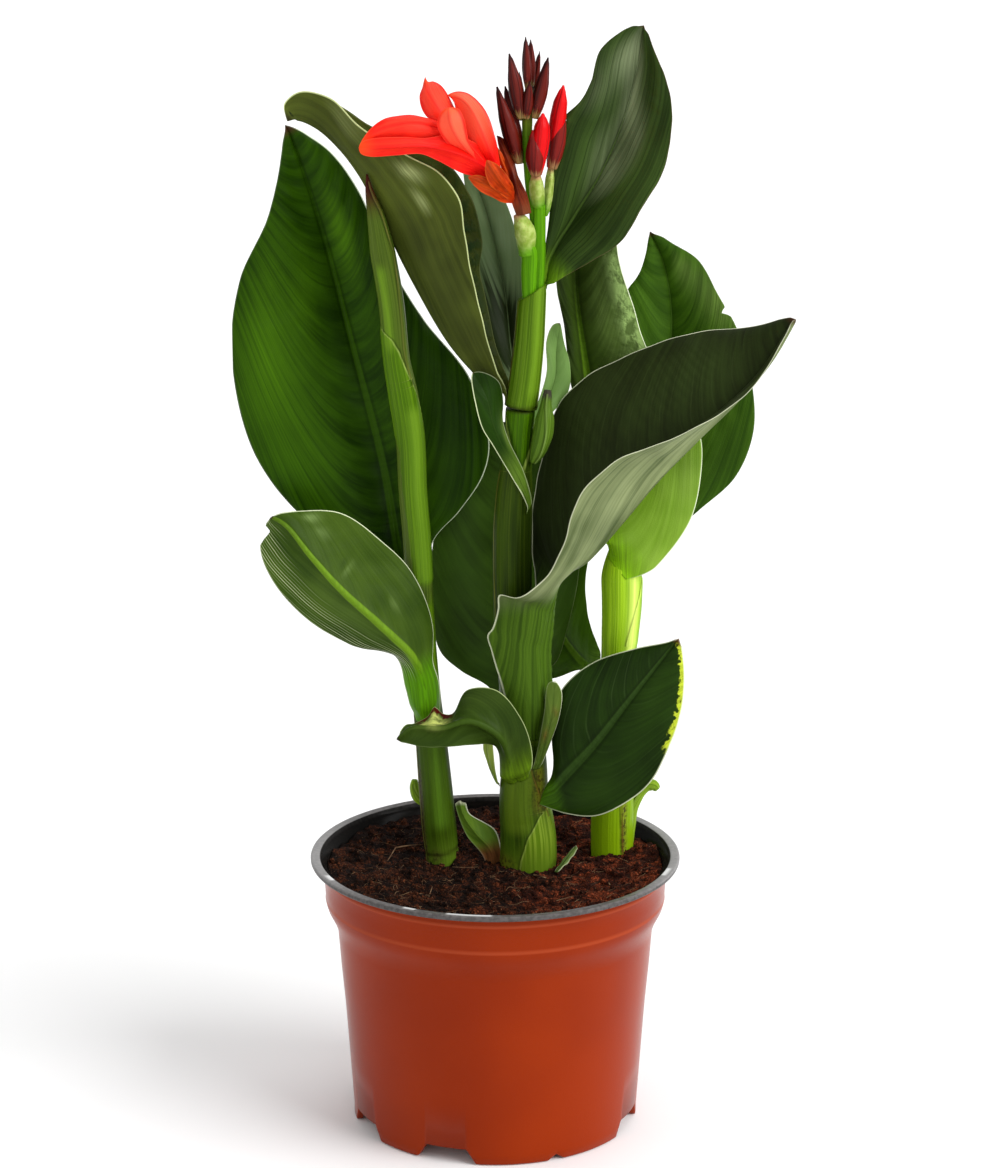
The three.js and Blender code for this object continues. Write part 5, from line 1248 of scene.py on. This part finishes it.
for name, path in OVARIES.items():
    points, faces, fields = round_shell(path, 36, 0.7, fins=(3, 0.35))
    lumps = 0.06 * (np.sin(points[:, 0] * 5.1) * np.sin(points[:, 2] * 4.7 + points[:, 1] * 3))
    points = points + unit(points - points.mean(0)) * lumps[:, None]
    make(name + "_skin", points, faces, ovary_shader(name + "_skin"), "ovary", (name,), **fields)


def bud_shader(name, dark, light, foot, tip, spots):
    """Glossy scales, lighter at the right as painted light, dry at the foot, with a dark seam at
    each edge.
    """
    s = Shader(name, 0.36, 0.14)
    cx, cy, share = s.field("cx"), s.field("cy"), s.field("share")
    lines = s.noise(s.vector(s.times(cx, 4.0), s.times(cy, 4.0), s.times(share, 1.2)), 1.0, 3.0)
    # painted light: lighter towards the right
    colour = s.mix(s.times(lines, 0.45, s.step(cx, -1.0, 0.9)), dark, light)
    colour = s.mix(s.step(share, 0.8, 1.0), colour, tip)
    ragged = s.times(lines, -0.08, share)
    colour = s.mix(s.step(ragged, 0.12, 0.0), colour, foot)
    colour = s.mix(s.times(s.speckle(s.place(), 0.8, 0.25), s.step(share, 0.4, 0.1)),
                   colour, spots)
    lip = s.field("lip")
    seam = s.times(s.step(lip, -0.5, -0.1), s.step(lip, 0.15, 0.0))
    colour = s.shade(colour, s.times(seam, -0.55, 1.0))
    return s.done(colour, s.bump(lines, 0.15, 0.6))


# By the start of the name: slot, radii from foot to tip as shares, and the shader's colours.
BUD_KINDS = {
    "bud_red": ("petal", [0.42, 0.72, 0.92, 1, 0.86, 0.16],
                [(140, 3, 9), (212, 6, 12), (150, 60, 40), (226, 12, 18), (160, 24, 24)]),
    "bract": ("bud", [0.45, 0.85, 1, 0.86, 0.5, 0.14],
              [(64, 8, 8), (120, 24, 18), (150, 112, 72), (150, 16, 16), (120, 40, 28)]),
    "bud": ("bud", [0.45, 0.85, 1, 0.86, 0.5, 0.14],
            [(24, 3, 4), (92, 20, 11), (140, 118, 68), (30, 6, 8), (150, 44, 36)]),
}

for index, (name, (foot, tip, radius)) in enumerate(BUDS.items()):
    slot, shape, colours = next(k for start, k in BUD_KINDS.items() if name.startswith(start))
    foot, tip = np.array(foot, float), np.array(tip, float)
    path = [[*(foot + (tip - foot) * i / 5), radius * share] for i, share in enumerate(shape)]
    low, high = foot[2], tip[2]
    first = -150 + 37 * index
    wraps = [([[low + 1, first + 120 * k], [high - 2, first + 40 + 120 * k]], 1, 115, 0.4, 0, 0)
             for k in range(3)]
    points, faces, fields = round_shell(path, 40, 0.7, wraps=wraps)
    make(name + "_skin", points, faces, bud_shader(name + "_skin", *colours), slot, (name,),
         **fields)


def petal_shader(name, dark, light, pale, foot, crease, tip=(250, 96, 30)):
    """Velvety petal: pale towards its middle by the field tint, with a darker crease."""
    s = Shader(name, 0.4, 0.08)
    ribbed, edge, along = (s.field(k) for k in ("rib", "edge", "along"))
    lines = s.noise(s.vector(s.times(ribbed, 0.9), s.times(along, 4.0)), 1.0, 3.0)
    cloud = s.noise(s.place(), 0.09, 2.0, 0.35, 0.65)
    colour = s.mix(s.times(lines, 0.4, s.times(cloud, 0.6)), dark, light)
    tint = s.times(s.field("tint"), s.step(along, 0.22, 0.7))
    colour = s.mix(s.times(tint, s.step(edge, 0.3, 3.0)), colour, pale)
    fold = s.step(s.math("ABSOLUTE", ribbed), 1.6, 0.2)
    colour = s.mix(s.times(fold, 0.35), colour, crease)
    colour = s.mix(s.times(s.step(edge, 0.8, 0.1), 0.35), colour, pale)
    colour = s.mix(s.times(s.step(along, 0.86, 1.0), 0.5), colour, tip)
    colour = s.mix(s.step(along, 0.2, 0.02), colour, foot)
    return s.done(colour, s.bump(lines, 0.2, 0.6))


def flower_piece(name, blades, tints, look, slot):
    bundle = Bundle()
    for blade, tint in zip(blades, tints):
        spec = {"arch": [0, -1, 0], "wave": [0.7, 2, 0.3], "pleat": 0.0, **blade}
        points, faces, fields = blade_shell(spec, 25, 0.9, ridge=0.3, thick=0.32)
        bundle.add(points, faces, tint=tint, **fields)
    bundle.make(name + "_blades", look, slot, (name,))


flower_piece("flower_petals", PETALS, [0.12, 0.2, 0.4, 1.0, 1.0],
             petal_shader("petal_skin", (232, 8, 14), (251, 36, 22), (252, 92, 64),
                          (226, 34, 10), (214, 4, 20)), "petal")
flower_piece("flower_sepals", SEPALS, [0.2, 0.1, 0.5],
             petal_shader("sepal_skin", (140, 30, 4), (204, 62, 12), (222, 110, 40),
                          (168, 44, 8), (124, 44, 6), tip=(190, 60, 12)), "sepal")
flower_piece("flower_bract", [FLOWER_BRACT], [0.0],
             petal_shader("flower_bract_skin", (72, 16, 10), (150, 60, 30), (166, 72, 46),
                          (112, 58, 34), (60, 10, 8), tip=(60, 10, 10)), "bud")

# ------------------------------------------------------------ pot

SECTORS = 720
DRAIN_RADIUS = 4
DRAIN_CIRCLE = 60     # radius of the circle on which the drain holes lie
DRAIN_BAND = 4.4      # half width of the floor's fine rows along that circle
# Each notch has its middle in degrees, its width, its height and the run of its sides.
NOTCHES = [(NOTCH_PHASE + 360 / NOTCH_COUNT * i, *((4.5, 2.8, 4.2) if i == 0 else (27, 7.6, 5.0)))
           for i in range(NOTCH_COUNT)]
# Rings as (radius, height): the floor from its middle, the outside upwards, the inside down.
FLOOR_ROWS = [12, 40, *np.linspace(DRAIN_CIRCLE - DRAIN_BAND, DRAIN_CIRCLE + DRAIN_BAND,
                                   21).tolist()]
FLOOR_CELLS = range(2, len(FLOOR_ROWS))     # the fine rows, where cells may go
OUTSIDE = [
    (74.1, FLOOR_HEIGHT), (75.9, 34), (77.9, 62), (79.9, 84), (81.2, 101), (81.5, 103),
    (82.3, 105.6), (83.4, 108.5), (85.0, 111.6), (86.3, 114.2), (87.0, 116.2), (87.45, 118.2),
    (87.6, 119.0), (87.35, 119.6), (87.5, 121), (87.8, 126), (88.1, 132.4), (88.45, 133.2),
    (88.45, 134), (88.15, 134.8), (88.3, 137.2), (88.9, 138.2), (91.5, 138.5), (94.2, 138.7),
    (94.7, 139.0), (94.93, 139.5), (95.0, 140.2), (94.85, 140.8), (94.4, 141.15), (93.6, 141.2),
    (91.6, 141.05), (90.5, 141.0), (90.1, 140.8), (89.9, 140.3),
]
INSIDE = [(89.3, 138.4), (86.6, 137.2), (86.2, 122), (85.2, 115.5), (81.8, 108.5), (79.8, 102),
          (76.3, 62), (72.6, 14), (72.2, FLOOR_TOP), (68, FLOOR_TOP),
          *((r, FLOOR_TOP) for r in reversed(FLOOR_ROWS))]
SEAM_HEIGHTS = (119.0, 119.6, 133.2, 134)
RIM_LOW = 137.8       # from here up the pot is grey
RIM_TOP = 140.5       # above this is the flat top of the rim
RIM_INNER = 90.2      # and it reaches in to this radius
# Where the rim's top catches the light: degrees from the front, half width in degrees.
GLINTS = ((-27.5, 1.5), (-8, 6.5), (72, 3), (-66, 2))


def foot_height(angle):
    """Lower edge of the base ring: up over the notches, with slanting sides."""
    height = np.zeros_like(angle)
    for centre, width, rise, slant in NOTCHES:
        gap = (np.degrees(angle) + 90 - centre + 180) % 360 - 180
        arc = np.abs(np.radians(gap)) * BASE_RADIUS
        height = np.maximum(height, rise * np.clip((width / 2 + slant / 2 - arc) / slant, 0, 1))
    return height


def drain_holes(points, faces, rows):
    """Round holes in the floor: the cells in each circle go, and a wall joins the two edges."""
    turns = np.radians(NOTCH_PHASE + 360 / NOTCH_COUNT * np.arange(NOTCH_COUNT) - 90)
    centres = DRAIN_CIRCLE * np.stack([np.cos(turns), np.sin(turns)], 1)

    def nearest(xy):
        return centres[np.argmin(np.linalg.norm(centres - xy, axis=1))]

    def inside(face):
        if len(face) < 4 or not all(v // SECTORS in FLOOR_CELLS or rows - 1 - v // SECTORS
                                    in FLOOR_CELLS for v in face):
            return False
        middle = points[list(face), :2].mean(0)
        return np.linalg.norm(middle - nearest(middle)) < DRAIN_RADIUS

    kept, edges = [], set()
    for face in faces:
        if not inside(face):
            kept.append(face)
        elif face[0] // SECTORS in FLOOR_CELLS:
            edges.update(zip(face, [*face[1:], face[0]]))
    above = {v: (rows - 1 - v // SECTORS) * SECTORS + v % SECTORS for edge in edges for v in edge}
    rims = [(a, b) for a, b in edges if (b, a) not in edges]
    points = points.copy()
    for v in {v for edge in rims for v in edge}:
        centre = nearest(points[v, :2])
        spoke = points[v, :2] - centre
        points[[v, above[v]], :2] = centre + spoke / np.linalg.norm(spoke) * DRAIN_RADIUS
    kept += [[a, b, above[b], above[a]] for a, b in sorted(rims)]
    used = sorted({v for face in kept for v in face})
    place = {v: i for i, v in enumerate(used)}
    return points[used], [tuple(place[v] for v in face) for face in kept], used


angle = np.arange(SECTORS) * 2 * np.pi / SECTORS
base = foot_height(angle)
skirt = BASE_RADIUS - SKIRT_WALL
lower = [*((r, FLOOR_HEIGHT) for r in FLOOR_ROWS), (skirt - 0.3, FLOOR_HEIGHT), (skirt, base),
         (skirt + 0.5, base), (BASE_RADIUS - 0.4, base), (BASE_RADIUS, base + 0.35),
         (BASE_RADIUS + 0.1, np.maximum(base + 0.4, 5))]
rings = [circle(r, z, angle) for r, z in [*lower, *OUTSIDE, *INSIDE]]
points = np.vstack(rings + [[[0, 0, FLOOR_HEIGHT], [0, 0, FLOOR_TOP]]])
points, faces, used = drain_holes(points, tube_faces(len(rings), SECTORS), len(rings))


def by_ring(outside, inside=0.0):
    """A field's value on each ring: 0 up to the base, then by outside(radius, height), inside."""
    return np.array([0.0] * len(lower) + [float(outside(r, z)) for r, z in OUTSIDE]
                    + [inside] * len(INSIDE))


def in_shade(r, z):
    """Painted shade on the rim: a little at its outer edge, more at its inner edge."""
    return (z > RIM_LOW) * (0.3 if r > 94.6 or z < 140 else 0.85 if r < 90.3 else 0.0)


grey = by_ring(lambda r, z: z > RIM_LOW, 1.0)
# the pot's dark grey inside takes the full painted shade
dark = by_ring(in_shade, 1.0)
glint = by_ring(lambda r, z: RIM_INNER < r < 92 and z > RIM_TOP)
flat = by_ring(lambda r, z: r > RIM_INNER and z > RIM_TOP)
ridge = by_ring(lambda r, z: z in SEAM_HEIGHTS)
# Painted highlights on the rim's top: the glints, and a broad sheen towards the sides.
front = (np.degrees(angle) + 90 + 180) % 360 - 180
painted_highlight = sum(smooth(half + 1, half, np.abs(front - at)) for at, half in GLINTS)
sides = 0.24 * smooth(40, 75, np.abs(front)) * smooth(150, 110, np.abs(front))
lit = np.maximum(glint[:, None] * painted_highlight, flat[:, None] * sides).ravel()

s = Shader("pot_plastic", 0.3, 0.06, Coat_Weight=0.5, Coat_Roughness=0.18, Coat_IOR=1.15)
cloud = s.noise(s.place(), 0.012, 2.0, 0.3, 0.7)
grain = s.noise(s.place(), 0.5, 4.0)
smear = s.node("VectorMath", operation="MULTIPLY")
s.feed(smear.inputs[0], s.place())
smear.inputs[1].default_value = (0.05, 0.05, 0.9)
lines = s.noise(smear.outputs[0], 1.0, 3.0, 0.4, 0.62)
clay = s.mix(cloud, (131, 37, 0), (142, 43, 0))
clay = s.mix(s.times(grain, 0.06), clay, (122, 34, 8))
ash = s.mix(grain, (84, 81, 80), (106, 102, 101))
ash = s.mix(s.times(s.speckle(s.place(), 0.16, 0.12), 0.9), ash, (38, 33, 30))
# painted shade: the rim's edges and the dark grey inside go near black
ash = s.mix(s.field("inner"), ash, s.mix(grain, (4, 3, 2), (14, 10, 7)))
# painted highlight along the seam ridges
clay = s.mix(s.times(s.field("ridge"), 0.22), clay, (200, 96, 60))
# painted glints and sheen on the rim's top
ash = s.mix(s.field("glint"), ash, (226, 226, 226))
colour = s.mix(s.field("grey"), clay, ash)
normal = s.bump(s.noise(s.place(), 1.4, 3.0), 0.05, 0.4)
normal = s.bump(lines, 0.03, 0.2, normal)
rough = s.times(s.field("inner"), 0.6, s.times(cloud, 0.08, 0.29))
make("pot_shell", points, faces, s.done(colour, normal, rough), "pot", ("pot",),
     grey=np.append(np.repeat(grey, SECTORS), [0, 1])[used],
     inner=np.append(np.repeat(dark, SECTORS), [0, 1])[used],
     ridge=np.append(np.repeat(ridge, SECTORS), [0, 0])[used],
     glint=np.append(lit, [0, 0])[used])

# ------------------------------------------------------------ soil

SOIL_EDGE = 86.1      # radius of the peat's top
SOIL_LOW = 10.6       # underside of the peat
WAVE_COUNT = 70       # waves of random direction that make the crumb of the surface
LONG_WAVES = 12       # how many of them are held lower
WAVES = RANDOM.normal(size=(WAVE_COUNT, 2)) * np.geomspace(0.06, 1.6, WAVE_COUNT)[:, None]
PHASES = RANDOM.uniform(0, 2 * np.pi, WAVE_COUNT)
HEIGHTS = (1.5 * np.geomspace(1.0, 0.3, WAVE_COUNT)
           * np.where(np.arange(WAVE_COUNT) < LONG_WAVES, 0.35, 0.42))
CRUMB_COUNT = 2600
FIBRE_COUNT = 260


def peat_height(x, y):
    """Top of the peat: the part's low lumps and rise, and the crumb of the surface."""
    lumps = 0.9 * np.sin(x / 8 + 1) * np.cos(y / 6.5) + 0.6 * np.sin((x + 1.7 * y) / 9)
    rise = SOIL_RISE * (np.hypot(x, y) / BASE_RADIUS) ** 3
    crumb = sum(h * np.sin(kx * x + ky * y + p)
                for (kx, ky), p, h in zip(WAVES, PHASES, HEIGHTS)) * 0.5
    return SOIL_TOP + lumps + rise + np.clip(crumb, -2.2, 2.2)


sectors, circles = 300, 96
angle = np.arange(sectors) * 2 * np.pi / sectors
radii = SOIL_EDGE * np.linspace(0.01, 1, circles)
x, y = radii[:, None] * np.cos(angle), radii[:, None] * np.sin(angle)
top_grid = np.stack([x, y, peat_height(x, y)], -1)[::-1]
walls = [circle(r, h, angle) for r, h in ((71.9, SOIL_LOW), (75.9, 62), (79.4, 102),
                                          (81.4, 108.5), (84.8, 115.5), (86.0, 124))]
rings = walls + list(top_grid)
points = np.vstack(rings + [[[0, 0, SOIL_LOW], [0, 0, peat_height(0, 0)]]])


def peat_shader(name, dark, light, speck):
    """Rough peat with pale specks, redder and lighter towards the right as painted light."""
    s = Shader(name, 0.92, 0.12)
    place = s.place()
    split = s.node("SeparateXYZ")
    s.feed(split.inputs[0], place)
    lumps = s.noise(place, 0.16, 4.0, 0.44, 0.6)
    grain = s.noise(place, 1.1, 4.0, 0.4, 0.62)
    # painted light: redder and lighter towards the right
    red = s.step(s.times(s.noise(place, 0.05, 2.0), 40.0, split.outputs[0]), 0.0, 75.0)
    shares = s.times(s.times(grain, 0.8, 0.2), s.times(lumps, 0.85, 0.15))
    colour = s.mix(shares, dark, light)
    colour = s.mix(s.times(red, 0.85), colour, s.mix(shares, (32, 9, 4), (166, 76, 42)))
    colour = s.mix(s.times(s.speckle(place, 0.55, 0.16), 0.7), colour, speck)
    return s.done(colour, s.bump(grain, 1.6, 1.0))


make("soil_peat", points, tube_faces(len(rings), sectors),
     peat_shader("peat", (4, 2, 1), (84, 42, 22), (140, 104, 78)), "soil", ("soil",))

# loose crumbs: small lumps pressed into the surface
BALL = [(1.0, 0.0, 0.0), (-1.0, 0.0, 0.0), (0.0, 1.0, 0.0), (0.0, -1.0, 0.0), (0.0, 0.0, 1.0),
        (0.0, 0.0, -1.0)]
BALL_FACES = [(0, 2, 4), (2, 1, 4), (1, 3, 4), (3, 0, 4), (2, 0, 5), (1, 2, 5), (3, 1, 5),
              (0, 3, 5)]


def split_ball():
    """An octahedron with each face split in four, and its new points on the sphere."""
    points, faces = list(BALL), []
    index = {p: i for i, p in enumerate(points)}

    def half(a, b):
        p = tuple(unit((np.array(points[a]) + np.array(points[b])) / 2).tolist())
        if p not in index:
            index[p] = len(points)
            points.append(p)
        return index[p]

    for a, b, c in BALL_FACES:
        ab, bc, ca = half(a, b), half(b, c), half(c, a)
        faces.extend([(a, ab, ca), (ab, b, bc), (ca, bc, c), (ab, bc, ca)])
    return np.array(points), faces


def random_place(share):
    """A point on the peat, within this share of its radius."""
    r, a = SOIL_EDGE * share * math.sqrt(RANDOM.uniform()), RANDOM.uniform(0, 2 * np.pi)
    return r * math.cos(a), r * math.sin(a)


crumb, crumb_faces = split_ball()
crumbs = Bundle()
for _ in range(CRUMB_COUNT):
    x, y = random_place(0.975)
    size = 0.5 + 1.9 * RANDOM.uniform() ** 3
    form = crumb * RANDOM.uniform(0.55, 1.25, (len(crumb), 1)) * size
    form = form * RANDOM.uniform(0.6, 1.2, 3)
    crumbs.add(form + [x, y, peat_height(x, y) + 0.1 * size], crumb_faces)
crumbs.make("soil_crumbs", peat_shader("peat_crumbs", (8, 3, 1), (108, 58, 33),
                                       (170, 130, 100)), "soil")

# root fibres and straws on the peat: [x, y, height over the peat] points, and the thickness
STRAWS = [
    ([[58, -22, 1], [61, -38, 0.5], [66, -52, 0.3]], 0.28),
    ([[-32, -26, 3], [-34, -40, 0.5]], 0.22), ([[-52, 26, 5], [-44, 28, 6], [-38, 29, 6]], 0.45),
    ([[-52, 26, 5], [-56, 14, 1]], 0.3), ([[20, -4, 2], [26, -12, 1]], 0.5),
    ([[-22, 6, 2], [-14, 2, 3], [-8, 8, 1]], 0.2), ([[40, -40, 1], [28, -46, 0.6]], 0.24),
]
FIBRE_SIDES = 5


def fibre(points, thick):
    """A thin closed tube that tapers to half its thickness."""
    line = Curve(points)
    rows = max(int(line.length / 1.2), 3)
    centre = line.at(np.linspace(0, 1, rows + 1))
    tangent = unit(np.gradient(centre, axis=0))
    side = unit(np.cross(tangent, [0.2, 0.1, 1]))
    up = np.cross(side, tangent)
    turn = (np.arange(FIBRE_SIDES) * 2 * np.pi / FIBRE_SIDES)[None, :, None]
    width = thick * np.linspace(1, 0.5, rows + 1)[:, None, None]
    grid = centre[:, None] + width * (side[:, None] * np.cos(turn) + up[:, None] * np.sin(turn))
    points = np.vstack([grid.reshape(-1, 3), centre[0], centre[-1]])
    return points, tube_faces(rows + 1, FIBRE_SIDES)


fibres = Bundle()
for path, thick in STRAWS:
    fibres.add(*fibre([[x, y, peat_height(x, y) + rise] for x, y, rise in path], thick))
for _ in range(FIBRE_COUNT):
    x, y = random_place(0.94)
    heading, bend = RANDOM.uniform(0, 2 * np.pi), RANDOM.normal() * 0.5
    step = RANDOM.uniform(1.5, 4.2)
    path = []
    for rise in (0.25, 0.8, 0.6, 0.1):
        if math.hypot(x, y) > SOIL_EDGE - 1.5:
            break
        path.append([x, y, peat_height(x, y) + rise])
        x, y = x + step * math.cos(heading), y + step * math.sin(heading)
        heading += bend
    if len(path) > 2:
        fibres.add(*fibre(path, RANDOM.uniform(0.06, 0.13)))
s = Shader("root_fibre", 0.8, 0.2)
fibres.make("soil_fibres", s.done(s.mix(s.noise(s.place(), 0.12, 2.0), (64, 38, 24),
                                        (150, 118, 86)),
                                  s.bump(s.noise(s.place(), 2.0, 2.0), 0.05)), "soil")

# ------------------------------------------------------------ floor, light and camera

FLOOR_HALF = 30       # metres
FLOOR_LEVEL = -0.0005
PHOTO_HEIGHT = 1168   # pixels
FOCAL_PIXELS = 3700
SENSOR = 36
CAMERA_DIP = 0.271    # radians below the level

s = Shader("floor_paper", 0.9, 0.1)
paper = s.done(s.mix(s.noise(s.place(), 0.002, 2.0), (246, 246, 246), (250, 250, 250)))
plane = bpy.data.meshes.new("floor")
plane.from_pydata([(x * FLOOR_HALF, y * FLOOR_HALF, FLOOR_LEVEL)
                   for x, y in ((-1, -1), (1, -1), (1, 1), (-1, 1))], [], [(0, 1, 2, 3)])
plane.materials.append(paper)
add_object("floor", plane)

world = bpy.data.worlds.new("studio")
bpy.context.scene.world = world
world.use_nodes = True
world.node_tree.nodes["Background"].inputs["Color"].default_value = (1, 1, 1, 1)
world.node_tree.nodes["Background"].inputs["Strength"].default_value = 0.5


def sun(name, azimuth, elevation, strength, spread):
    """A sun from this azimuth and elevation in degrees, with its disc's width in degrees."""
    lamp = bpy.data.lights.new(name, "SUN")
    lamp.energy = strength
    lamp.angle = math.radians(spread)
    add_object(name, lamp).rotation_euler = (math.pi / 2 - math.radians(elevation), 0,
                                             math.radians(azimuth))


sun("key", 62, 32, 3.0, 45)
sun("front", -8, 12, 0.4, 50)
sun("left", -80, 26, 0.4, 60)
sun("top", 160, 60, 0.8, 50)

camera = bpy.data.cameras.new("camera")
camera.sensor_width = SENSOR
camera.lens = FOCAL_PIXELS / PHOTO_HEIGHT * SENSOR
camera.clip_start, camera.clip_end = 0.05, 100
holder = add_object("camera", camera)
holder.location = ((2.5 + SHIFT[0]) * MM, -1.8, 0.785)
holder.rotation_euler = (math.pi / 2 - CAMERA_DIP, 0, 0)
bpy.context.scene.camera = holder
bpy.context.scene.view_settings.view_transform = "Standard"
